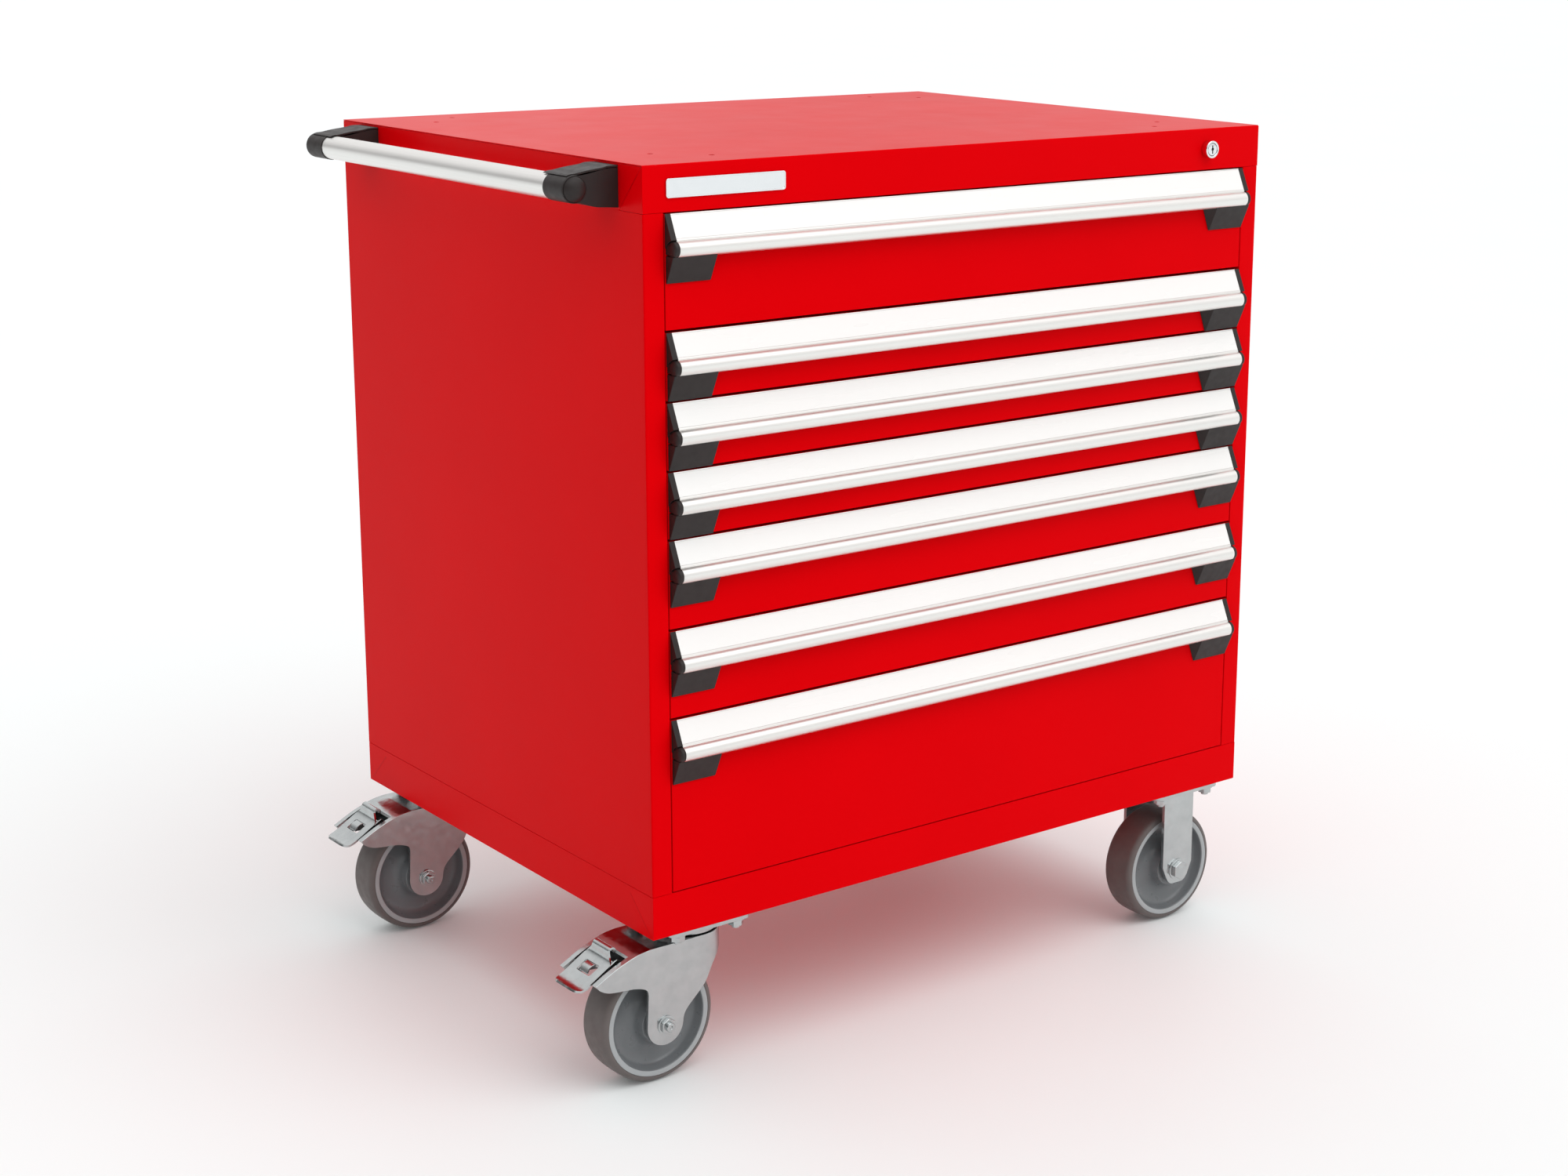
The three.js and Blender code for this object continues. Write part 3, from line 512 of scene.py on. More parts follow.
def turned_over(body: BMesh, axis: Axis, about: float = 0.0) -> BMesh:
    """Mirrors a mesh in place.

    Args:
        body: the mesh.
        axis: the direction it is mirrored along.
        about: place of the mirror plane.

    Returns:
        The same mesh.
    """
    for vertex in body.verts:
        vertex.co[axis.value] = 2 * about - vertex.co[axis.value]
    bmesh.ops.reverse_faces(body, faces=body.faces)
    return body


def moved(body: BMesh, x: float, y: float, z: float) -> BMesh:
    """Moves a mesh in place and returns it."""
    bmesh.ops.translate(body, vec=(x, y, z), verts=body.verts)
    return body


def combined(*bodies: BMesh) -> BMesh:
    """Puts separate closed bodies in one mesh.

    Args:
        bodies: the meshes. The first is kept, the others are used up.

    Returns:
        The first mesh, with all of them in it.
    """
    whole = bodies[0]
    for body in bodies[1:]:
        spare = bpy.data.meshes.new("spare")
        body.to_mesh(spare)
        whole.from_mesh(spare)
        bpy.data.meshes.remove(spare)
        body.free()
    return whole


def eased(
    body: BMesh,
    radius: float,
    steps: int = 2,
    sharper_than: float = 30.0,
    chosen: Optional[Callable[[BMEdge], bool]] = None,
) -> BMesh:
    """Rounds a mesh's sharp edges in place.

    Args:
        body: the mesh.
        radius: the round's radius.
        steps: segments in the round.
        sharper_than: smallest turn that is rounded, in degrees.
        chosen: says which of those edges are rounded, all of them if left out.

    Returns:
        The same mesh.
    """
    limit = math.radians(sharper_than)
    sharp = [e for e in body.edges if len(e.link_faces) == 2 and e.calc_face_angle(0.0) > limit]
    edges = [e for e in sharp if chosen is None or chosen(e)]
    if edges:
        bmesh.ops.bevel(
            body, geom=edges, offset=radius, offset_type="OFFSET", segments=steps, profile=0.5,
            affect="EDGES", clamp_overlap=True,
        )
    return body


def worked(body: BMesh, tool: BMesh, how: Cut) -> BMesh:
    """Cuts one solid with another.

    Args:
        body: the solid, used up.
        tool: the tool, used up.
        how: what is kept.

    Returns:
        The new mesh.
    """
    objects = []
    for name, source in (("work", body), ("tool", tool)):
        mesh = bpy.data.meshes.new(name)
        source.to_mesh(mesh)
        source.free()
        made = bpy.data.objects.new(name, mesh)
        bpy.context.scene.collection.objects.link(made)
        objects.append(made)
    step = objects[0].modifiers.new("cut", "BOOLEAN")
    step.operation = how.value
    step.solver = "EXACT"
    step.object = objects[1]
    result = bmesh.new()
    result.from_object(objects[0], bpy.context.evaluated_depsgraph_get())
    for made in objects:
        mesh = made.data
        bpy.data.objects.remove(made)
        bpy.data.meshes.remove(mesh)
    bmesh.ops.remove_doubles(result, verts=result.verts, dist=1e-4)
    return result


def hexagon(across_flats: float) -> Outline:
    """Returns a hexagon about the origin with the given width across its flats."""
    return circle(0, 0, across_flats / math.sqrt(3), 6)


def add_piece(
    name: str,
    body: BMesh,
    at: Vector,
    finish: Finish,
    rides_on: str,
    replaces: Sequence[str] = (),
    sharp: float = 46.0,
    slot: str = "",
) -> None:
    """Args:
        name: the piece's name.
        body: its mesh in millimetres, used up.
        at: where the mesh's origin goes, in metres.
        finish: its finish.
        rides_on: the body it moves with.
        replaces: the frame's nodes that it stands for.
        sharp: turns sharper than this keep a crisp edge, in degrees.
        slot: the record's material slot, where it isn't the finish's own. Not used.
    """
    bmesh.ops.transform(body, matrix=Matrix.Translation(at) @ Matrix.Scale(MM, 4), verts=body.verts)
    mesh = bpy.data.meshes.new(name)
    body.to_mesh(mesh)
    body.free()
    mesh.polygons.foreach_set("use_smooth", [True] * len(mesh.polygons))
    mesh.set_sharp_from_angle(angle=math.radians(sharp))
    mesh.materials.append(finish.material())
    made = bpy.data.objects.new(name, mesh)
    bpy.context.scene.collection.objects.link(made)
    weighted = made.modifiers.new("weighted_normals", "WEIGHTED_NORMAL")
    weighted.keep_sharp = True
    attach(made, rides_on)
    slot or finish.slot
    if replaces:
        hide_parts(*replaces)
    LOG.info("%s rides on %s", name, rides_on)


def front_middle(node: str) -> Vector:
    """Returns the middle of a frame node's front side."""
    low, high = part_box(node)
    return Vector(((low.x + high.x) / 2, low.y, (low.z + high.z) / 2))


def under_base(node: str) -> Vector:
    """Returns the point of the base's underside over the middle of a caster's node."""
    low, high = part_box(node)
    return Vector(((low.x + high.x) / 2, (low.y + high.y) / 2, high.z + SEAM * MM))


def frame_copy(node: str) -> BMesh:
    """A frame node's shape as clean flat faces.

    Args:
        node: the node's name.

    Returns:
        Its mesh in millimetres, in the frame's place.
    """
    body = bmesh.new()
    body.from_mesh(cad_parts[node].data)
    bmesh.ops.scale(body, vec=(1 / MM,) * 3, verts=body.verts)
    bmesh.ops.remove_doubles(body, verts=body.verts, dist=1e-3)
    bmesh.ops.dissolve_limit(body, angle_limit=math.radians(0.5), verts=body.verts, edges=body.edges)
    return body


def edge_at(low: Vector, high: Vector, *sides: tuple[Axis, bool]) -> Callable[[BMEdge], bool]:
    """Chooses the edges that lie on given sides of a box.

    Args:
        low: the box's lowest corner, in millimetres.
        high: its highest corner.
        sides: an axis and whether it is the high side, for each side the edge lies on.

    Returns:
        A test for an edge.
    """

    def chosen(edge: BMEdge) -> bool:
        """Tests one edge.

        Args:
            edge: the edge.

        Returns:
            Whether both its ends lie on every given side.
        """
        for axis, is_high in sides:
            target = (high if is_high else low)[axis.value]
            if any(abs(v.co[axis.value] - target) > 0.05 for v in edge.verts):
                return False
        return True

    return chosen


# ---- Carcase ----


@dataclass(frozen=True)
class Carcase:
    """The welded cabinet: sides, top, back and base in folded sheet."""

    fold: float = 1.5
    ease: float = 0.35
    screw_radius: float = 3.6
    screw_from_front: float = 82.0
    screw_from_rear: float = 77.1
    screw_heights: tuple[float, float] = (76.7, 25.3)
    mitre_width: float = 0.6
    mitre_proud: float = 0.12
    top_mitre: tuple[Point, Point] = ((45.0, -48.6), (0.8, -0.8))
    base_mitre: tuple[Point, Point] = ((47.0, 43.0), (5.0, 2.0))

    def build(self) -> None:
        """Builds the folded pieces and the side screws."""
        self._folded("top_cover", ((Axis.Y, False), (Axis.Z, True)))
        self._folded("side_panel_left", ((Axis.X, False), (Axis.Y, False)))
        self._folded("side_panel_right", ((Axis.X, True), (Axis.Y, False)))
        self._folded("base_tray", ((Axis.Y, False), (Axis.Z, False)))
        self._folded("back_panel", ((Axis.Y, True), (Axis.Z, True)))
        self._screws()

    def dress(self) -> None:
        """Gives the carried-over inner walls their galvanised finish."""
        for node in ("runner_wall_left", "runner_wall_right"):
            dress_node(node, SLIDE_STEEL)

    def _folded(self, node: str, fold_sides: Sequence[tuple[Axis, bool]]) -> None:
        """Builds one folded sheet with a round fold and eased cut edges.

        Args:
            node: the frame's node.
            fold_sides: the two sides whose shared edge is the visible fold.
        """
        low, high = (Vector(corner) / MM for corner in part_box(node))
        body = frame_copy(node)
        eased(body, self.fold, 4, chosen=edge_at(low, high, *fold_sides))
        eased(body, self.ease, 1, sharper_than=50.0)
        add_piece(f"{node}_sheet", body, Vector(), POWDER_COAT, "cabinet", (node,))
        # The strips along each mitre are coated darker than the sheet: painted shade for the mitre's fine
        # groove.
        seam_shade_pieces = self._mitre_painted_shade(node, low, high)
        if seam_shade_pieces:
            add_piece(f"{node}_mitre_painted_shade", combined(*seam_shade_pieces), Vector(), POWDER_COAT_INNER_AND_SEAM_SHADE, "cabinet")

    def _mitre_painted_shade(self, node: str, low: Vector, high: Vector) -> list[BMesh]:
        """Thin strips along each mitre of the folded corners, on both sides, coated darker as painted shade
        for the mitre's fine groove.

        Args:
            node: the frame's node.
            low: its lowest corner, in millimetres.
            high: its highest corner.

        Returns:
            Each mitre's strip, coated darker as painted shade.
        """
        lines = []
        if node == "top_cover":
            lines = [[(low.y + y, high.z + z) for y, z in self.top_mitre]]
        elif node == "base_tray":
            lines = [[(low.y + y, low.z + z) for y, z in self.base_mitre]]
            lines.append([(high.y - y, low.z + z) for y, z in self.base_mitre])
        beads = []
        for start, end in lines:
            run = Vector(end) - Vector(start)
            out = Vector((-run.y, run.x)).normalized() * self.mitre_width / 2
            corners = [Vector(start) + out, Vector(start) - out, Vector(end) - out, Vector(end) + out]
            section = [(corner.x, corner.y) for corner in corners]
            beads.append(prism(section, Axis.X, low.x - self.mitre_proud, low.x + 0.2))
            beads.append(prism(section, Axis.X, high.x - 0.2, high.x - 0.02))
        return beads

    def _screws(self) -> None:
        """Builds the flush painted screws low on both sides."""
        low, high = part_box("side_panel_left")[0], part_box("side_panel_right")[1]
        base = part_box("base_tray")[0].z
        places = (low.y + self.screw_from_front * MM, high.y - self.screw_from_rear * MM)
        for side, x in zip(SIDES, (low.x, high.x)):
            for end, y in zip(ENDS, places):
                for row, height in enumerate(self.screw_heights):
                    r = self.screw_radius
                    profile = [(0, -1.2), (r - 0.5, -1.2), (r, -0.3), (r - 0.4, -0.12), (0, -0.06)]
                    head = turned(profile, Axis.X, 32)
                    for half_y, half_z in ((1.7, 0.35), (0.35, 1.7)):
                        slot = [(-half_y, -half_z), (half_y, -half_z), (half_y, half_z), (-half_y, half_z)]
                        head = worked(head, prism(slot, Axis.X, -0.9, 1.0), Cut.TAKE_AWAY)
                    if side == "left":
                        turned_over(head, Axis.X)
                    at = Vector((x, y, base + height * MM))
                    name = f"side_screw_{side}_{end}_{row + 1}"
                    add_piece(name, head, at, POWDER_COAT_INNER_AND_SEAM_SHADE, "cabinet")


def dress_node(node: str, finish: Finish) -> None:
    """Puts a finish on every slot of a carried-over node.

    Args:
        node: the frame's node.
        finish: its finish.
    """
    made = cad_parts[node]
    if not made.material_slots:
        made.data.materials.append(finish.material())
    for slot in made.material_slots:
        slot.material = finish.material()
    LOG.info("%s keeps its shape, in %s", node, finish.name)


# ---- Drawers ----


@dataclass(frozen=True)
class Drawer:
    """One drawer: double-skinned front, tub, slide members and lock catch."""

    number: int
    front_depth: float = 15.0
    sheet: float = 1.0
    tub_inset: float = 12.1
    tub_lift: float = 2.8
    tub_drop: float = 12.2
    member_inset: float = 4.9
    member_start: float = 34.0
    member_length: float = 600.0
    member_height: float = 43.8
    member_half: float = 15.2
    member_sheet: float = 1.4
    catch_reach: float = 8.5
    catch_start: float = 29.0
    catch_sheet: float = 2.0
    catch_foot: float = 12.8
    catch_height: float = 9.0
    rim: float = 4.0

    def build(self) -> None:
        """Builds the drawer's pieces."""
        node = f"drawer_{self.number}_box"
        low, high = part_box(node)
        width, depth, height = (high - low) / MM
        body = f"drawer_{self.number}"
        front = tray((0, 0, 0), (width, self.front_depth, height), self.sheet, open_top=False)
        eased(front, 0.45, 2)
        add_piece(f"{body}_front", front, low, POWDER_COAT, body, (node,))
        x0, x1 = self.tub_inset, width - self.tub_inset
        start = self.front_depth + 0.1
        tub = tray((x0, start, self.tub_lift), (x1, depth, height - self.tub_drop), self.sheet, open_top=True)
        eased(tub, 0.35, 1)
        add_piece(f"{body}_tub", tub, low, POWDER_COAT_INNER_AND_SEAM_SHADE, body)
        self._rim(body, low, x0, x1, start, depth, height)
        self._members(body, low, width)

    def _rim(
        self, body: str, low: Vector, x0: float, x1: float, start: float, depth: float, height: float
    ) -> None:
        """Builds the folded rim along the tub's side and rear walls.

        Args:
            body: the drawer's body.
            low: the drawer's lowest corner.
            x0: tub's left side.
            x1: tub's right side.
            start: tub's front.
            depth: tub's rear.
            height: drawer front's height.
        """
        top = height - self.tub_drop
        inner, drop = self.sheet + 1.6, self.rim
        side = [(self.sheet, -drop), (self.sheet, 0.0), (0, 0.0), (0, 0.6), (inner, 0.6), (inner, -drop)]
        left = moved(prism(side, Axis.Y, start, depth), x0, 0, top)
        right = moved(turned_over(prism(side, Axis.Y, start, depth), Axis.X), x1, 0, top)
        rear = [(-y, z) for y, z in side]
        back = moved(prism(rear, Axis.X, x0, x1), 0, depth, top)
        rims = combined(left, right, back)
        eased(rims, 0.25, 1, sharper_than=50.0)
        add_piece(f"{body}_rim", rims, low, POWDER_COAT_INNER_AND_SEAM_SHADE, body)

    def _members(self, body: str, low: Vector, width: float) -> None:
        """Builds the inner slide members and the lock catch.

        Args:
            body: the drawer's body.
            low: the drawer's lowest corner.
            width: drawer front's width.
        """
        half, sheet = self.member_half, self.member_sheet
        reach = self.tub_inset - self.member_inset - 0.05
        channel = [
            (0, -half), (reach, -half), (reach, -half + sheet), (sheet, -half + sheet),
            (sheet, half - sheet), (reach, half - sheet), (reach, half), (0, half),
        ]
        start, end = self.member_start, self.member_start + self.member_length
        for side in SIDES:
            member = moved(prism(channel, Axis.Y, start, end), self.member_inset, 0, self.member_height)
            if side == "right":
                turned_over(member, Axis.X, width / 2)
            eased(member, 0.3, 2)
            add_piece(f"{body}_slide_member_{side}", member, low, SLIDE_STEEL, body)
        edge = width - self.tub_inset + 0.05
        lug = [
            (edge, self.catch_foot), (edge + self.catch_reach - 0.6, self.catch_foot),
            (edge + self.catch_reach - 0.6, self.catch_foot + self.catch_height),
            (edge, self.catch_foot + self.catch_height),
        ]
        catch = prism(lug, Axis.Y, self.catch_start, self.catch_start + self.catch_sheet)
        eased(catch, 0.3, 2)
        add_piece(f"{body}_lock_catch", catch, low, SLIDE_STEEL, body)


@dataclass(frozen=True)
class DrawerPull:
    """A drawer's pull: rail, label strip, end caps and corner brackets.

    The section is in (y, z) from the drawer's upper front edge, y negative outwards.
    """

    number: int
    top_drop: float = 1.5
    slope: Point = (-12.6, -29.0)
    lip: float = 1.3
    channel_depth: float = 0.7
    foot_lip: float = 2.3
    bead: Point = (-10.6, -38.6)
    bead_radius: float = 8.97
    wall: float = 1.8
    leg: float = 22.0
    cap: float = 7.0
    bracket_width: float = 57.0
    bracket_flare: float = 11.0
    bracket_foot: float = 75.6
    bracket_top: Point = (-15.6, -46.0)
    bracket_foot_y: float = -2.0

    def build(self) -> None:
        """Builds the pull's pieces."""
        node = f"drawer_{self.number}_pull"
        low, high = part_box(node)
        body = f"drawer_{self.number}"
        at = Vector((low.x, high.y + SEAM * MM, high.z + self.top_drop * MM))
        width = (high.x - low.x) / MM
        rail = prism(self._section(), Axis.X, self.cap + 0.1, width - self.cap - 0.1)
        eased(rail, 0.14, 1, sharper_than=60.0)
        add_piece(f"{body}_pull_rail", rail, at, ANODISED_RAIL, body, (node,), sharp=32.0)
        strip = prism(self._strip(), Axis.X, self.cap + 0.2, width - self.cap - 0.2)
        eased(strip, 0.1, 1)
        add_piece(f"{body}_label_strip", strip, at, LABEL_STRIP, body)
        for side in SIDES:
            ends = {"end_cap": self._cap(), "bead_end": self._bead_end(), "corner": self._corner()}
            for name, piece in ends.items():
                if side == "right":
                    turned_over(piece, Axis.X, width / 2)
                add_piece(f"{body}_{name}_{side}", piece, at, BLACK_NYLON, body)

    def _along_slope(self) -> Callable[[float, float], Point]:
        """Sets out the slope.

        Returns:
            A map from (distance down the slope, height off it) to the section.
        """
        start = Vector((-SEAM, -self.top_drop))
        run = (Vector(self.slope) - start).normalized()
        out = Vector((run.y, -run.x))

        def place(down: float, off: float) -> Point:
            """Returns the section point at a distance down the slope and a height off it."""
            spot = start + run * down + out * off
            return (spot.x, spot.y)

        return place

    def _slope_length(self) -> float:
        """Returns the slope's length."""
        return (Vector(self.slope) - Vector((-SEAM, -self.top_drop))).length

    def _section(self) -> Outline:
        """The rail's section, with the label channel and the round bead.

        Returns:
            Its closed outline.
        """
        place, length, deep = self._along_slope(), self._slope_length(), self.channel_depth
        u, v = self.bead
        inner = self.bead_radius - self.wall
        outside = [
            place(0, 0), place(self.lip, 0), place(self.lip, -deep), place(length - self.foot_lip, -deep),
            place(length - self.foot_lip, 0), place(length - 0.3, 0), place(length + 0.1, -0.5),
        ]
        knee = place(length, -self.wall)
        leg_y = -SEAM - self.wall
        upper_z = place(length * 0.35, -self.wall)[1]
        return [
            *outside,
            *arc(u, v, self.bead_radius, 104, 297, 34),
            *arc(u, v, inner, 297, 100, 26),
            knee,
            (leg_y, upper_z),
            (leg_y, -self.leg),
            (-SEAM, -self.leg),
        ]

    def _strip(self) -> Outline:
        """The label strip's section in its channel.

        Returns:
            Its closed outline.
        """
        place, length = self._along_slope(), self._slope_length()
        top, foot = self.lip + 0.15, length - self.foot_lip - 0.15
        floor = -self.channel_depth + 0.02
        return [place(top, floor), place(top, -0.15), place(foot, -0.15), place(foot, floor)]

    def _cap(self) -> BMesh:
        """The end cap over the slope's end.

        Returns:
            The left end's cap.
        """
        place, length = self._along_slope(), self._slope_length()
        foot = length - 0.6
        outline = [place(0, 0.3), place(foot, 0.3), place(foot, -6.0), (-SEAM, -38.0)]
        outline.append((-SEAM, -self.top_drop))
        return eased(prism(outline, Axis.X, 0, self.cap), 0.7, 3)

    def _bead_end(self) -> BMesh:
        """The domed end over the bead's end, with its shank back to the drawer front.

        Returns:
            The left end's mesh.
        """
        r, rise, flatness = self.bead_radius - 0.02, 3.0, 0.28
        dome = [(x, rise + y * flatness) for x, y in arc(0, 0, r, -90, 0, 8)[1:]]
        profile = [(0.0, 0.4), *dome, (r, self.cap), (0.0, self.cap)]
        end = moved(turned(profile, Axis.X, 48), 0, *self.bead)
        outline = [(-SEAM, -34.0), (self.bead[0], -34.0), (self.bead[0], -44.5), (-SEAM, -44.5)]
        shank = eased(prism(outline, Axis.X, 0.8, self.cap - 0.2), 0.3, 2)
        return combined(eased(end, 0.25, 2, sharper_than=60.0), shank)

    def _corner(self) -> BMesh:
        """The corner bracket, its inner side flared towards the drawer front.

        Returns:
            The left end's bracket.
        """
        top_y, top_z = self.bracket_top
        foot_y, foot_z = self.bracket_foot_y, -self.bracket_foot
        wide, flared = self.bracket_width, self.bracket_width + self.bracket_flare
        front = [(0.6, top_y, top_z), (wide, top_y, top_z), (wide, foot_y, foot_z), (0.6, foot_y, foot_z)]
        rear = [(0.6, -SEAM, top_z), (flared, -SEAM, top_z), (wide, -SEAM, foot_z), (0.6, -SEAM, foot_z)]
        return eased(skinned([front, rear]), 0.8, 3)


# ---- Lock and blank plate ----


@dataclass(frozen=True)
class Lock:
    """The keyed lock at the right of the top band, and the hooked bar that it lifts."""

    ring_radius: float = 10.75
    proud: float = 9.5
    face_rim: float = 8.6
    bore: float = 7.75
    plug_radius: float = 7.5
    key_depth: float = 11.0
    cam_start: float = 17.8
    cam_radius: float = 12.0

    def build(self) -> None:
        """Builds the barrel and the plug."""
        low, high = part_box("lock_barrel")
        rear = (high.y - low.y) / MM
        at = front_middle("lock_barrel")
        band = self.proud - SEAM
        r, b = self.ring_radius, self.bore
        profile = [
            (b, 0.7), (self.face_rim, 0.0), (r - 0.9, 0.0), (r - 0.25, 0.25), (r, 0.9), (r, band - 0.6),
            (r - 0.3, band), (9.0, band), (9.0, rear), (b, rear),
        ]
        barrel = turned(profile, Axis.Y, 96)
        add_piece("lock_barrel_turned", barrel, at, CHROME, "cabinet", ("lock_barrel",), sharp=60.0)
        self._nut(at, band)
        self._plug()

    def dress(self) -> None:
        """Gives the lock bar its galvanised finish."""
        dress_node("lock_bar", SLIDE_STEEL)

    def _nut(self, at: Vector, band: float) -> None:
        """Builds the nut that clamps the barrel behind the band.

        Args:
            at: the barrel's front middle.
            band: the band's front face behind it.
        """
        start = band + 1.8
        nut = prism(circle(0, 0, 12.0, 6), Axis.Y, start, start + 4.0)
        nut = worked(nut, prism(circle(0, 0, 9.1), Axis.Y, start - 1, start + 6), Cut.TAKE_AWAY)
        eased(nut, 0.4, 2)
        add_piece("lock_nut", nut, at, BRIGHT_ZINC, "cabinet", slot=CHROME.slot)

    def _plug(self) -> None:
        """Builds the plug with its stepped keyway, the cam and the drive pin."""
        axis = front_middle("lock_barrel")
        axis.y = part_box("lock_plug")[0].y
        r, start, wide = self.plug_radius, self.cam_start, self.cam_radius
        plug = spun([(r - 0.4, 0), (r, 0.4), (r, start)], Axis.Y)
        keyway = [
            (-0.7, -5.2), (1.0, -5.2), (1.0, -1.4), (2.0, -0.4), (2.0, 1.2), (0.9, 2.2), (0.9, 5.2),
            (-1.0, 5.2), (-1.0, 1.8), (-1.9, 0.8), (-1.9, -1.0), (-0.7, -2.0),
        ]
        plug = worked(plug, prism(keyway, Axis.Y, -1, self.key_depth), Cut.TAKE_AWAY)
        cam = spun([(wide - 0.4, start), (wide, start + 0.4), (wide, start + 2)], Axis.Y, 48)
        pin = spun([(2.5, start + 1), (2.5, start + 6.2), (2.1, start + 6.6)], Axis.Y, 24)
        whole = combined(plug, cam, moved(pin, -6.0, 0, -6.0))
        add_piece("lock_plug_turned", whole, axis, CHROME, "lock_plug", ("lock_plug",))


@dataclass(frozen=True)
class BlankPlate:
    """The plain bright plate at the left of the top band."""

    rim: float = 1.6
    recess: float = 0.5

    def build(self) -> None:
        """Builds the plate with its raised rim."""
        low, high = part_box("blank_plate")
        half_x, thick, half_z = (high.x - low.x) / 2 / MM, (high.y - low.y) / MM, (high.z - low.z) / 2 / MM
        at = front_middle("blank_plate")
        plate = prism(rounded_rectangle(half_x, half_z, 3.0), Axis.Y, 0, thick)
        well = prism(rounded_rectangle(half_x - self.rim, half_z - self.rim, 2.0), Axis.Y, -1, self.recess)
        plate = worked(plate, well, Cut.TAKE_AWAY)
        eased(plate, 0.3, 3, sharper_than=50.0)
        add_piece("blank_plate_pressed", plate, at, CHROME, "cabinet", ("blank_plate",))


# ---- Push handle ----


@dataclass(frozen=True)
class PushHandle:
    """The tube along the left side and its two moulded brackets.

    Bracket sections are in (x, z) from the side panel's face and its top edge, at the front end.
    """

    tube_radius: float = 14.0
    tube_wall: float = 2.0
    sleeve_radius: float = 14.9
    sleeve_length: float = 40.0
    arm_start: float = 3.7
    arm_width: float = 46.6
    root_top: float = -3.1
    root_foot: float = -48.1
    shoulder: float = 14.0
    roof: float = 2.2
    split: float = 0.6
    dome: float = 8.0
    cap_radius: float = 13.6

    def build(self) -> None:
        """Builds the tube and both brackets."""
        low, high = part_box("handle_tube")
        length = (high.y - low.y) / MM
        inner, r = self.tube_radius - self.tube_wall, self.tube_radius
        profile = [
            (inner, 0.3), (inner + 0.3, 0), (r - 0.3, 0), (r, 0.3), (r, length - 0.3), (r - 0.3, length),
            (inner + 0.3, length), (inner, length - 0.3),
        ]
        at, tube = front_middle("handle_tube"), turned(profile, Axis.Y, 96)
        add_piece("handle_tube_drawn", tube, at, ANODISED_TUBE, "cabinet", ("handle_tube",))
        for end in ENDS:
            self._bracket(end)

    def _corner(self) -> Vector:
        """Returns the side panel's face and its top edge, in x and z."""
        return Vector((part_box("side_panel_left")[0].x, 0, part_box("top_cover")[1].z))

    def _axis(self) -> Point:
        """Returns the tube's axis in the brackets' section."""
        away = (front_middle("handle_tube") - self._corner()) / MM
        return (away.x, away.z)

    def _bracket(self, end: str) -> None:
        """Builds one bracket.

        Args:
            end: front or rear.
        """
        node = f"handle_bracket_{end}"
        at = self._corner()
        at.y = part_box(node)[ENDS.index(end)].y
        parts = {"arm": self._arm(), "roof": self._roof(), "sleeve": self._sleeve(), "cap": self._cap()}
        for name, piece in parts.items():
            if end == "rear":
                turned_over(piece, Axis.Y)
            replaced = (node,) if name == "arm" else ()
            add_piece(f"{node}_{name}", piece, at, BLACK_NYLON, "cabinet", replaced)

    def _arm(self) -> BMesh:
        """The arm from the panel to the sleeve, under its roof.

        Returns:
            The front bracket's arm.
        """
        x, z = self._axis()
        r, root, back = self.sleeve_radius, self.root_top - self.roof - self.split, -self.shoulder
        upper = curve([(x, z + r - 1.4), (x + 16, z + r - 0.6), (back - 6, root - 1.2), (back + 4, root)], 6)
        foot = [(-SEAM, self.root_foot), (-14, self.root_foot + 1.0), (-30, self.root_foot + 2.6)]
        lower = curve([*foot, (x + 6, z - r + 0.6), (x, z - r + 0.2)], 5)
        first = self.dome + self.arm_start
        arm = prism([*upper, (-SEAM, root), *lower], Axis.Y, first, first + self.arm_width)
        room = moved(spun([(r + 0.6, 0), (r + 0.6, 30)], Axis.Y, 64), x, self.dome + self.sleeve_length, z)
        return eased(worked(arm, room, Cut.TAKE_AWAY), 1.2, 3)

    def _roof(self) -> BMesh:
        """The curved roof over the arm.

        Returns:
            The front bracket's roof.
        """
        x, z = self._axis()
        r, top, back = self.sleeve_radius + 1.0, self.root_top, -self.shoulder
        rise = [(x + 4, z + r + 0.3), (x + 18, z + r + 2.6)]
        flat = [(back - 6, top - 1.6), (back, top - 0.3), (back + 6, top)]
        path = [*arc(x, z, r, 118, 92, 4), *curve([*rise, *flat], 5), (-SEAM, top)]
        lower = [(px, pz - self.roof) for px, pz in reversed(path[5:])]
        under = arc(x, z, self.sleeve_radius + 0.15, 92, 116, 4)
        first = self.dome + self.arm_start - 0.4
        roof = prism([*path, *lower, *under], Axis.Y, first, first + self.arm_width + 0.8)
        return eased(roof, 0.6, 2, sharper_than=40.0)

    def _sleeve(self) -> BMesh:
        """The sleeve round the tube's end.

        Returns:
            The front bracket's sleeve.
        """
        r, inner, start = self.sleeve_radius, self.tube_radius + 0.3, self.dome
        end = start + self.sleeve_length
        rim = [(r - 0.4, start + 0.2), (r, start + 0.6), (r, end - 0.8), (r - 0.5, end), (inner, end)]
        return self._on_tube([(0, start + 0.2), *rim, (inner, start + 10.2), (0, start + 10.2)])

    def _cap(self) -> BMesh:
        """The domed cap with its thin collar.

        Returns:
            The front bracket's cap.
        """
        start, r, collar = self.dome, self.cap_radius, self.sleeve_radius - 0.1
        dome = [(u, start - v * self.dome / r) for u, v in arc(0, 0, r, 0, 90, 14)]
        rim = [(collar, start + 0.1), (collar, start - 0.5), (r + 0.5, start - 0.9), (r, start - 0.6)]
        return self._on_tube([(0, start + 0.1), *rim, *dome[1:-1], (0, 0)])

    def _on_tube(self, profile: Outline) -> BMesh:
        """Returns a piece turned about the tube's axis."""
        x, z = self._axis()
        return moved(turned(profile, Axis.Y, 96), x, 0, z)


# ---- Casters ----


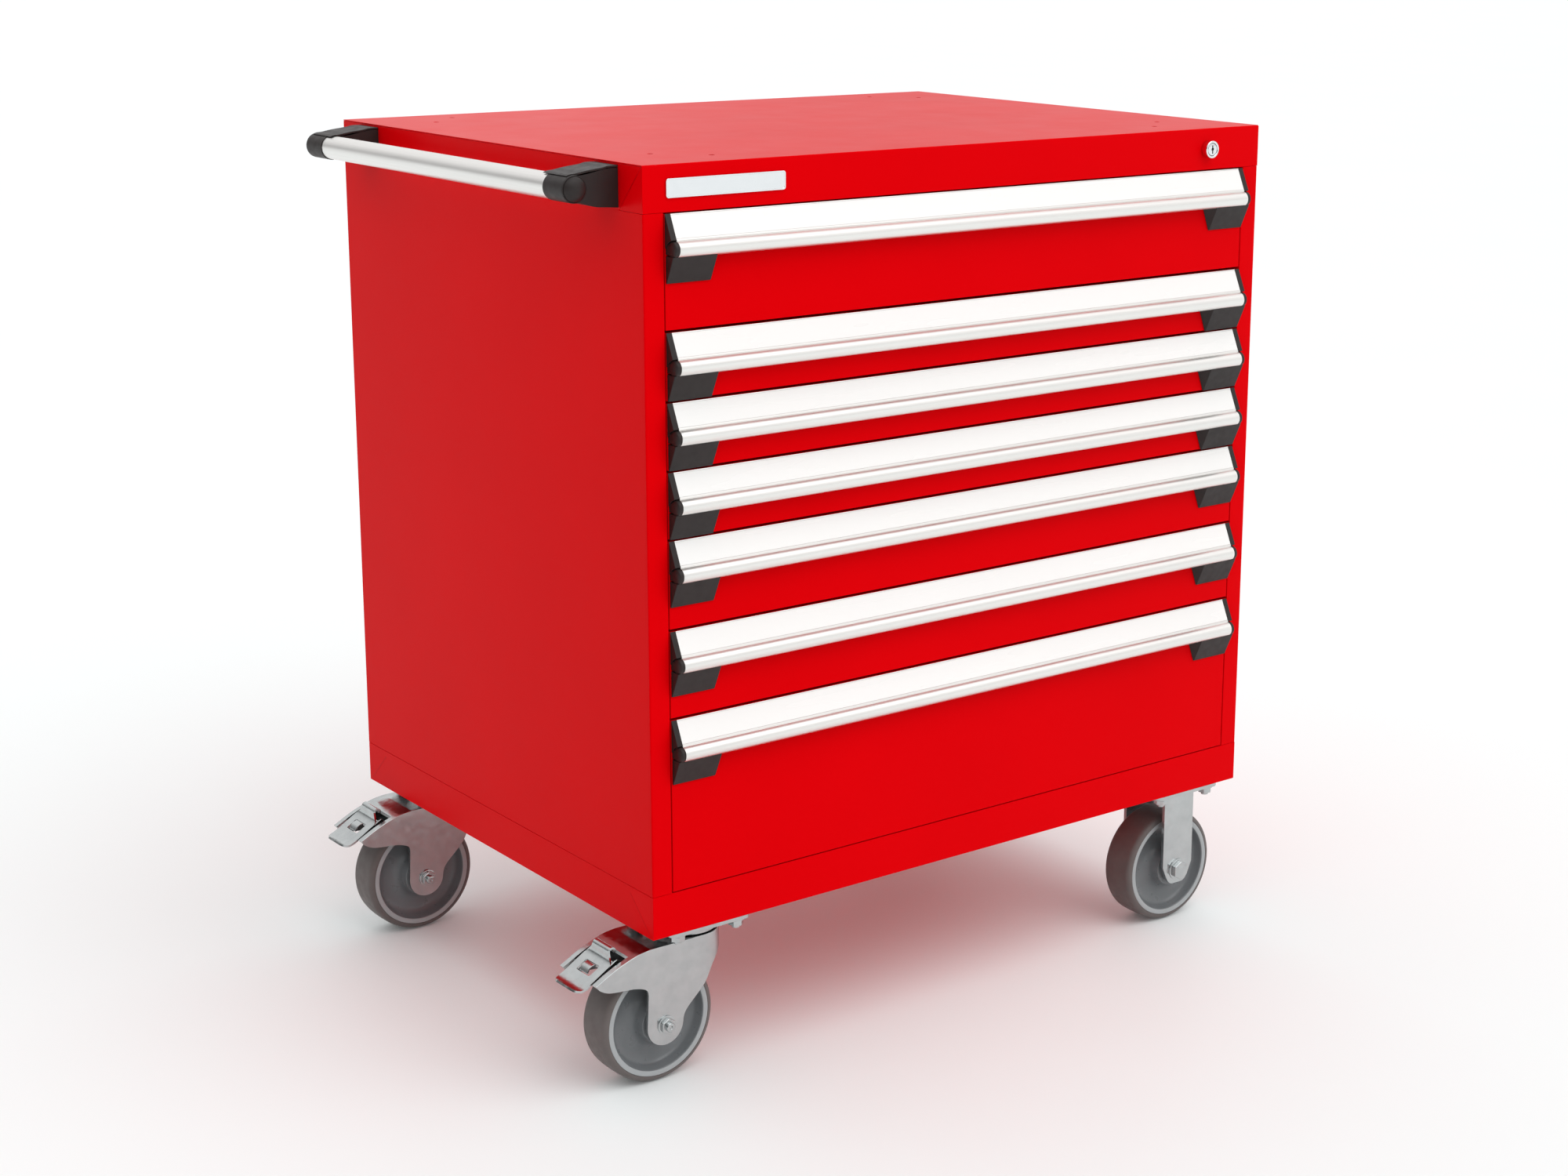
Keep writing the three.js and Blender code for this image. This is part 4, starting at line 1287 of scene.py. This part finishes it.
@dataclass(frozen=True)
class Wheel:
    """A wheel: grey tread on a dished core. Profiles are (radius, distance from the middle)."""

    radius: float = 75.0
    half_width: float = 24.0
    shoulder: float = 7.0
    crown: float = 0.7
    rim_radius: float = 67.0
    rim_inner: float = 61.0
    hub_half: float = 31.0
    bore: float = 8.3

    def build(self, node: str) -> None:
        """Builds the tread and the core.

        Args:
            node: the frame's wheel.
        """
        low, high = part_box(node)
        at = (low + high) / 2
        at.z = low.z + self.radius * MM
        add_piece(f"{node}_tread", self._tread(), at, RUBBER_TREAD, node, (node,))
        add_piece(f"{node}_core", self._core(), at, WHEEL_CORE, node, sharp=60.0)
        # The rim face is a lighter copy of the core's moulding: a painted highlight where the ring faces the
        # light.
        add_piece(f"{node}_rim", combined(self._rim(1), self._rim(-1)), at, WHEEL_RIM_PAINTED_HIGHLIGHT, node)

    def _both_sides(self, right: Outline) -> BMesh:
        """Returns a turned ring with one profile on both sides of the middle."""
        return turned([*right, *[(radius, -y) for radius, y in reversed(right) if y > 0]], Axis.Y, 120)

    def _tread(self) -> BMesh:
        """The tread, with a slightly crowned face and round shoulders.

        Returns:
            The closed ring.
        """
        r, half, s = self.radius, self.half_width, self.shoulder
        drop, rim = self.crown, self.rim_radius
        right = [(r - drop * (y / (half - s)) ** 2, y) for y in (0, 6, 12, half - s)]
        right += arc(r - drop - s, half - s, s, 0, 90, 6)[1:]
        right += [(rim + 0.6, half), (rim + 0.1, half - 0.6), (rim + 0.1, half - 4)]
        return self._both_sides(right)

    def _rim(self, side: int) -> BMesh:
        """One side's rim face, a raised ring.

        Args:
            side: 1 for the rear side, -1 for the front.

        Returns:
            The closed ring.
        """
        outer, inner, half = self.rim_radius, self.rim_inner, self.half_width
        ring = [(outer, 0.4), (outer - 0.5, 0.02), (inner + 0.8, 0.02), (inner, 0.6)]
        ring += [(inner, 2.4), (outer, 2.4)]
        return turned([(radius, side * (half - sunk)) for radius, sunk in ring], Axis.Y, 120)

    def _core(self) -> BMesh:
        """The core: rim, deep dish and hub, the same on both faces.

        Returns:
            The closed core.
        """
        half, hub, rim, lip = self.half_width, self.hub_half, self.rim_radius, self.rim_inner - 0.05
        dish = [(55.5, 12.5), (50, 9.6), (42, 8.8), (34, 10.2), (28.6, 14.5), (26.4, 20)]
        right = [(rim, half - 4), (rim, half - 2.5), (lip, half - 2.5), (lip, half - 0.8)]
        right += curve([(60.2, half - 1.6), (58.6, half - 6), *dish], 5)
        right += [(25.4, hub - 3.4), (24.6, hub - 2.4), (17.5, hub - 2.0), (17.0, hub - 0.3)]
        return self._both_sides([*right, (self.bore + 4, hub), (self.bore, hub)])


@dataclass(frozen=True)
class CasterHardware:
    """Plates, bolts and nuts that both kinds of caster share."""

    plate_half_x: float = 55.0
    plate_half_y: float = 56.0
    plate_thick: float = 5.0
    plate_corner: float = 9.0
    hole_half_x: float = 40.0
    hole_half_y: float = 45.0
    bolt_flats: float = 16.0
    bolt_height: float = 6.4
    washer_radius: float = 10.0
    shank_radius: float = 7.9

    def plate(self) -> BMesh:
        """Returns the top plate, its upper face just under the base."""
        outline = rounded_rectangle(self.plate_half_x, self.plate_half_y, self.plate_corner)
        return eased(prism(outline, Axis.Z, -self.plate_thick, -SEAM), 0.5, 2, sharper_than=50.0)

    def foot(self) -> float:
        """Returns the height just under the plate."""
        return -self.plate_thick - 0.05

    def bolts(self, name: str, at: Vector) -> None:
        """Builds the four bolts, with their washers, under a plate.

        Args:
            name: the caster's name.
            at: the caster's axis under the base.
        """
        heads = []
        top, wide = self.foot(), self.washer_radius
        for sx, sy in ((-1, -1), (-1, 1), (1, -1), (1, 1)):
            washer = spun([(wide, top), (wide, top - 1.6)], Axis.Z, 40)
            turn = Matrix.Rotation(math.radians(17 * (sx + 2 * sy)), 3, "Z")  # as a spanner left them
            head = prism(hexagon(self.bolt_flats), Axis.Z, top - 1.7 - self.bolt_height, top - 1.7)
            bmesh.ops.rotate(head, matrix=turn, verts=head.verts)
            stud = spun([(4.9, top - 2), (4.9, top - 10.6), (4.3, top - 11.4)], Axis.Z, 24)
            part = combined(eased(washer, 0.3, 2), eased(head, 0.8, 2), stud)
            heads.append(moved(part, sx * self.hole_half_x, sy * self.hole_half_y, 0))
        add_piece(f"{name}_plate_bolts", combined(*heads), at, BRIGHT_ZINC, "cabinet")

    def axle_bolt(
        self, half: float, flats: float, height: float, stud_radius: float, stud: float, dimple: float
    ) -> BMesh:
        """An axle bolt with a head on each side of the fork, about its middle.

        Args:
            half: the fork's outer half width.
            flats: width across the head's flats.
            height: the head's height.
            stud_radius: radius of the threaded end past the head.
            stud: how far that end stands past the head.
            dimple: radius of the dimple in that end.

        Returns:
            The mesh.
        """
        ends = []
        base = half + 0.1
        seat, wide, r, sunk = base + 1.6, flats * 0.66, stud_radius, dimple * 0.6
        tip = seat + height + stud
        for side in (-1, 1):
            washer = spun([(wide, base), (wide, base + 0.9), (flats * 0.58, seat)], Axis.Y, 48)
            head = prism([(z, x) for x, z in hexagon(flats)], Axis.Y, seat, seat + height)
            end = [(r, base + 2), (r, tip - 0.8), (r - 0.8, tip), (dimple, tip), (sunk, tip - sunk)]
            whole = combined(washer, eased(head, 0.9, 3), spun(end, Axis.Y, 32))
            ends.append(turned_over(whole, Axis.Y) if side < 0 else whole)
        return combined(prism(circle(0, 0, self.shank_radius), Axis.Y, -half, half), *ends)


@dataclass(frozen=True)
class SwivelCaster:
    """A braked swivel caster. Points are (x, z) from the swivel axis and the base's underside."""

    end: str
    sheet: float = 4.0
    ridge: float = 6.0
    race_radius: float = 38.0
    race_height: float = 13.0
    leg_end: float = 24.0
    cheek_gap: float = 31.0
    web_end: float = -97.0
    pedal_sheet: float = 2.6

    def build(self) -> None:
        """Builds the caster's pieces."""
        at = under_base(f"swivel_plate_{self.end}")
        wheel_low, wheel_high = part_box(f"swivel_wheel_{self.end}")
        axle = (((wheel_low.x + wheel_high.x) / 2 - at.x) / MM, (wheel_low.z - at.z) / MM + Wheel().radius)
        fork_low, fork_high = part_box(f"swivel_fork_{self.end}")
        half = (fork_high.y - fork_low.y) / 2 / MM
        crown = (fork_high.z - at.z) / MM
        hardware = CasterHardware()
        self._plate(at, hardware)
        self._fork(at, half, crown, axle)
        self._pedal(at)
        self._kingpin(at, crown)
        bolt = hardware.axle_bolt(half, 17.0, 5.0, 5.6, 4.0, 2.2)
        name, body = f"swivel_axle_{self.end}", f"swivel_{self.end}"
        where = at + Vector((axle[0], 0, axle[1])) * MM
        add_piece(f"{name}_bolt", bolt, where, BRIGHT_ZINC, body, (name,))
        Wheel().build(f"swivel_wheel_{self.end}")

    def _plate(self, at: Vector, hardware: CasterHardware) -> None:
        """Builds the plate, the ball race and the plate's bolts.

        Args:
            at: the swivel axis under the base.
            hardware: the shared hardware.
        """
        node = f"swivel_plate_{self.end}"
        add_piece(f"{node}_pressed", hardware.plate(), at, BRIGHT_ZINC, "cabinet", (node,))
        top, foot, r = hardware.foot(), -hardware.plate_thick - self.race_height, self.race_radius
        profile = [
            (9, top), (r - 4, top), (r - 1.2, top - 1), (r, top - 3.4), (r - 0.8, top - 6),
            (r - 2.6, top - 6.6), (r - 2.6, top - 7.6), (r - 0.6, top - 8.4), (r - 1.0, foot + 1.2),
            (r - 3, foot), (9, foot),
        ]
        race = turned(profile, Axis.Z, 96)
        add_piece(f"swivel_race_{self.end}", race, at, BRIGHT_ZINC, "cabinet")
        hardware.bolts(f"swivel_{self.end}", at)

    def _loaf(self, radius: float, side: Outline, foot: float) -> BMesh:
        """A block with the fork's plan and its side view.

        Args:
            radius: half width, and radius of the round nose.
            side: its side view.
            foot: below its lowest point.

        Returns:
            The block.
        """
        plan = [(-180.0, -radius), *arc(0, 0, radius, -90, 90, 32), (-180.0, radius)]
        view = prism(side, Axis.Y, -radius - 5, radius + 5)
        return worked(prism(plan, Axis.Z, foot, 0), view, Cut.KEEP_COMMON)

    def _fork(self, at: Vector, half: float, crown: float, axle: Point) -> None:
        """Builds the pressed fork: a round-nosed shell with rolled ridges, open below.

        Args:
            at: the swivel axis under the base.
            half: outer half width.
            crown: the crown's upper face.
            axle: the wheel's axis.
        """
        x, z = axle
        falls = ((18.5, 0), (34.5, 2.2), (51.5, 7.5), (68.5, 14.4), (92, 26.6))
        ridge = curve([(x - back, crown - fall) for back, fall in falls], 5)
        r = self.leg_end
        front = [(half + 1, crown - 15.6), (26, crown - 27), (12, crown - 40.6), (0, crown - 60)]
        foot = (x - 1 + r * 0.996, z - r * 0.087)
        neck = curve([*front, (x + 30, z + 14.5), (x + 24.5, z + 6), foot], 6)
        rises = [(23, 41), (24.5, 47.5), (31, 51.6), (44, 54.8)]
        rises += [(64, 56.6), (76, 58.6), (86, 63.6), (91.5, 69.5)]
        cheek = curve([(x - back, z + rise) for back, rise in rises], 4)
        side = [(half + 1, crown), *neck, *arc(x - 1, z, r, -5, -180, 20)[1:], *cheek, *reversed(ridge)]
        outer = self._loaf(half, side, z - 40)
        eased(outer, self.ridge, 5, sharper_than=35.0, chosen=is_ridge)
        under = [(px, pz - self.sheet) for px, pz in [*ridge, (x - 140, crown - 44)]]
        hollow_side = [(half + 20, crown - self.sheet), *under, (x - 140, z - 60), (half + 20, z - 60)]
        hollow = self._loaf(half - self.sheet, hollow_side, z - 50)
        eased(hollow, self.ridge - self.sheet + 0.5, 3, sharper_than=35.0, chosen=is_ridge)
        fork = worked(outer, hollow, Cut.TAKE_AWAY)
        behind = [(self.web_end, -200), (-200.0, -200), (-200.0, 0), (self.web_end, 0)]
        fork = worked(fork, prism(behind, Axis.Y, -self.cheek_gap, self.cheek_gap), Cut.TAKE_AWAY)
        eased(fork, 0.5, 2, sharper_than=62.0)
        node = f"swivel_fork_{self.end}"
        add_piece(f"{node}_pressed", fork, at, BRIGHT_ZINC, f"swivel_{self.end}", (node,))

    def _kingpin(self, at: Vector, crown: float) -> None:
        """Builds the kingpin's nut under the crown.

        Args:
            at: the swivel axis under the base.
            crown: the crown's upper face.
        """
        top = crown - self.sheet - 0.5
        nut = eased(prism(hexagon(22.0), Axis.Z, top - 8, top), 1.0, 2)
        stud = spun([(7.9, top), (7.9, top - 9.4), (7.1, top - 10.2)], Axis.Z, 32)
        node = f"kingpin_{self.end}"
        add_piece(f"{node}_nut", combined(nut, stud), at, BRIGHT_ZINC, "cabinet", (node,))

    def _pedal(self, at: Vector) -> None:
        """Builds the brake pedal: curled tab, slotted plate, foot lip, ears and pin.

        Args:
            at: the swivel axis under the base.
        """
        tab = ((-104.0, -20.5), (-104.6, -16.4), (-108.0, -13.9), (-112.4, -14.8), (-114.6, -18.6))
        curl = [(x, z, 17) for x, z in tab]
        plate = [(-115.4, -25.0, 20), (-118.6, -30.0, 26.5), (-128, -36.0, 27), (-144, -45.6, 27)]
        lip = [(-150, -48.8, 27), (-155.5, -50.8, 26), (-160, -50.6, 22), (-162.4, -49.6, 15)]
        strip = ribbon(curve([*curl, *plate, *lip], 4), self.pedal_sheet)
        slot = prism(rounded_rectangle(7.0, 14.0, 2.0), Axis.Z, -60, 0)
        strip = worked(strip, moved(slot, -131.0, 0, 0), Cut.TAKE_AWAY)
        eased(strip, 0.5, 2, sharper_than=55.0)
        bent = [(x, z, 8) for x, z in ((-124.5, -33.5), (-128, -33.0), (-134, -35.6), (-137.5, -41.4))]
        tongue = ribbon(curve(bent, 4), 2.0)
        corners = [(-109, -25), (-128, -38), (-118, -45), (-100, -48.5), (-92.5, -43), (-94, -37)]
        ear = curve([*corners, corners[0]], 4)
        ears = combined(prism(ear[:-1], Axis.Y, -27, -24), prism(ear[:-1], Axis.Y, 24, 27))
        eased(ears, 0.4, 2, sharper_than=60.0)
        pin = moved(eased(prism(circle(0, 0, 4.0, 32), Axis.Y, -34.4, 34.4), 0.4, 2), -98.0, 0, -42.0)
        whole = combined(strip, eased(tongue, 0.4, 2, sharper_than=60.0), ears, pin)
        node = f"brake_pedal_{self.end}"
        add_piece(f"{node}_pressed", whole, at, BRIGHT_ZINC, node, (node,))


def is_ridge(edge: BMEdge) -> bool:
    """Returns whether an edge runs between an upward face and a wall."""
    ups = sorted(face.normal.z for face in edge.link_faces)
    return ups[-1] > 0.55 and abs(ups[0]) < 0.25


@dataclass(frozen=True)
class RigidCaster:
    """A rigid caster. Points are from the plate's middle and the base's underside."""

    end: str
    leg_inset: float = 17.0
    leg_half: float = 26.0
    sheet: float = 5.0
    bend: float = 8.0
    leg_end: float = 19.0
    chamfer: float = 12.0
    chamfer_height: float = 25.0

    def build(self) -> None:
        """Builds the caster's pieces."""
        node = f"rigid_fork_{self.end}"
        at = under_base(node)
        axle = (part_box(f"rigid_wheel_{self.end}")[0].z - at.z) / MM + Wheel().radius
        hardware = CasterHardware()
        half = hardware.plate_half_y - self.leg_inset
        add_piece(f"rigid_plate_{self.end}", hardware.plate(), at, BRIGHT_ZINC, "cabinet")
        fork = self._legs(half, axle, hardware.foot())
        add_piece(f"{node}_pressed", fork, at, BRIGHT_ZINC, "cabinet", (node,))
        hardware.bolts(f"rigid_{self.end}", at)
        bolt = hardware.axle_bolt(half, 22.0, 6.5, 7.0, 0.3, 0.0)
        where = at + Vector((0, 0, axle)) * MM
        name = f"rigid_axle_{self.end}"
        add_piece(f"{name}_bolt", bolt, where, BRIGHT_ZINC, "cabinet", (name,))
        Wheel().build(f"rigid_wheel_{self.end}")

    def _legs(self, half: float, axle: float, top: float) -> BMesh:
        """The two legs and the bridge that joins them under the plate.

        Args:
            half: outer half width.
            axle: the axle's height.
            top: the plate's lower face.

        Returns:
            The bent strip.
        """
        end = axle - self.leg_end
        r, inner = self.bend, self.bend - self.sheet
        near, far = arc(half - r, top - r, r, 0, 90, 6), arc(-half + r, top - r, r, 90, 180, 6)
        outside = [(half, end), *near, *far, (-half, end)]
        low = top - self.sheet
        within = half - self.sheet
        inside = [
            (-within, end), *arc(-within + inner, low - inner, inner, 180, 90, 4),
            *arc(within - inner, low - inner, inner, 90, 0, 4), (within, end),
        ]
        strip = prism([*outside, *inside], Axis.X, -self.leg_half - 1, self.leg_half + 1)
        reach = self.leg_half
        corner = reach - self.chamfer
        shoulder = [(reach, end + self.chamfer_height), (corner + 3, end + 6), (corner - 5, end)]
        foot = curve([*shoulder, (0, end - 0.01)], 5)
        outline = [(reach, top + 1), *foot, *[(-x, z) for x, z in reversed(foot[:-1])], (-reach, top + 1)]
        legs = worked(strip, prism(outline, Axis.Y, -half - 5, half + 5), Cut.KEEP_COMMON)
        return eased(legs, 0.6, 2, sharper_than=60.0)


# ---- Studio ----


@dataclass(frozen=True)
class Studio:
    """Plain floor, soft light and the camera. Places in metres, angles in degrees."""

    floor_half: float = 60.0
    sky: float = 0.85
    left_sky: float = 0.08
    zenith: float = 1.02
    horizon: float = 0.85
    panel_scale: float = 1.6
    panel_low: float = 0.45
    panel_high: float = 1.15
    key: float = 0.9
    key_spread: float = 50.0
    key_tilt: float = 34.0
    key_turn: float = 14.0
    camera_place: tuple[float, float, float] = (-1.87095, -2.61801, 1.3254)
    camera_yaw: float = 38.3666
    camera_pitch: float = 13.1649
    camera_roll: float = 0.4713
    lens_mm: float = 59.245
    shift: Point = (-0.0772, -0.05405)

    def build(self) -> None:
        """Builds the floor, the world, the key light and the camera."""
        bpy.context.scene.view_settings.view_transform = "Standard"
        self._floor()
        self._world()
        self._key_light()
        self._camera()

    def _floor(self) -> None:
        """Builds the floor just under the wheels."""
        sheet = bmesh.new()
        bmesh.ops.create_grid(sheet, x_segments=8, y_segments=8, size=self.floor_half)
        mesh = bpy.data.meshes.new("studio_floor")
        sheet.to_mesh(mesh)
        sheet.free()
        mesh.materials.append(STUDIO_FLOOR.material())
        floor = bpy.data.objects.new("studio_floor", mesh)
        floor.location.z = -0.0003
        bpy.context.scene.collection.objects.link(floor)

    def _world(self) -> None:
        """Makes the soft surround, dimmer to the left."""
        world = bpy.data.worlds.new("studio")
        world.use_nodes = True
        tree = world.node_tree
        tree.nodes.clear()
        where = add_node(tree, "ShaderNodeTexCoord").outputs["Generated"]
        toward = add_node(tree, "ShaderNodeSeparateXYZ", None, {0: where})
        side = self._ramp(tree, toward.outputs["X"], (-1.0, 0.1), (self.left_sky, self.sky))
        high = self._ramp(tree, toward.outputs["Z"], (0.2, 0.7), (0.0, 1.0))
        blur = {"Scale": self.panel_scale, "Detail": 1.0}
        cloud = add_node(tree, "ShaderNodeTexNoise", blur, {"Vector": where})
        panels = self._ramp(tree, cloud.outputs["Fac"], (0.42, 0.56), (self.panel_low, self.panel_high))
        low = add_node(tree, "ShaderNodeMath", {"operation": "MULTIPLY"}, {0: side, 1: panels}).outputs[0]
        above = self._ramp(tree, toward.outputs["Z"], (0.04, 0.12), (0.0, 1.0))
        around = add_node(tree, "ShaderNodeMix", {"data_type": "FLOAT", 2: self.horizon}, {0: above, 3: low})
        above_all = {"data_type": "FLOAT", 3: self.zenith}
        level = add_node(tree, "ShaderNodeMix", above_all, {0: high, 2: around.outputs[0]})
        white = {"Color": (1, 1, 1, 1)}
        shade = add_node(tree, "ShaderNodeBackground", white, {"Strength": level.outputs[0]})
        add_node(tree, "ShaderNodeOutputWorld", None, {"Surface": shade.outputs[0]})
        bpy.context.scene.world = world

    def _ramp(self, tree: Tree, value: Socket, source: Point, target: Point) -> Any:
        """Adds a smooth step.

        Args:
            tree: the world's tree.
            value: what it maps.
            source: where it starts and ends.
            target: its values there.

        Returns:
            The step's output socket.
        """
        settings = {
            "interpolation_type": "SMOOTHSTEP", "From Min": source[0], "From Max": source[1],
            "To Min": target[0], "To Max": target[1],
        }
        return add_node(tree, "ShaderNodeMapRange", settings, {"Value": value}).outputs[0]

    def _key_light(self) -> None:
        """Makes the broad key light, high in front and a little right."""
        data = bpy.data.lights.new("key", "SUN")
        data.energy = self.key
        data.angle = math.radians(self.key_spread)
        light = bpy.data.objects.new("key", data)
        light.rotation_euler = (math.radians(self.key_tilt), 0, math.radians(self.key_turn))
        bpy.context.scene.collection.objects.link(light)

    def _camera(self) -> None:
        """Makes the camera."""
        yaw, pitch, roll = (math.radians(a) for a in (self.camera_yaw, self.camera_pitch, self.camera_roll))
        ahead = Vector((math.sin(yaw) * math.cos(pitch), math.cos(yaw) * math.cos(pitch), -math.sin(pitch)))
        right = Vector((math.cos(yaw), -math.sin(yaw), 0))
        up = right.cross(ahead)
        tilted_right = right * math.cos(roll) + up * math.sin(roll)
        tilted_up = up * math.cos(roll) - right * math.sin(roll)
        turn = Matrix((tilted_right, tilted_up, -ahead)).transposed()
        data = bpy.data.cameras.new("camera")
        data.sensor_width = 36.0
        data.lens = self.lens_mm
        data.shift_x, data.shift_y = self.shift
        camera = bpy.data.objects.new("camera", data)
        camera.matrix_world = Matrix.Translation(self.camera_place) @ turn.to_4x4()
        bpy.context.scene.collection.objects.link(camera)
        bpy.context.scene.camera = camera


# ---- The chest ----


def main() -> None:
    """Builds the studio and every sub-assembly, in order."""
    logging.basicConfig(level=logging.INFO, format="%(name)s: %(message)s")
    Studio().build()
    carcase, lock = Carcase(), Lock()
    carcase.build()
    carcase.dress()
    numbers = sorted(int(name.split("_")[1]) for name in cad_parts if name.endswith("_pull"))
    for number in numbers:
        Drawer(number).build()
        DrawerPull(number).build()
        for side in SIDES:
            dress_node(f"slide_{number}_{side}", SLIDE_STEEL)
    lock.build()
    lock.dress()
    BlankPlate().build()
    PushHandle().build()
    for end in ENDS:
        SwivelCaster(end).build()
        RigidCaster(end).build()


if __name__ == "__main__":
    main()
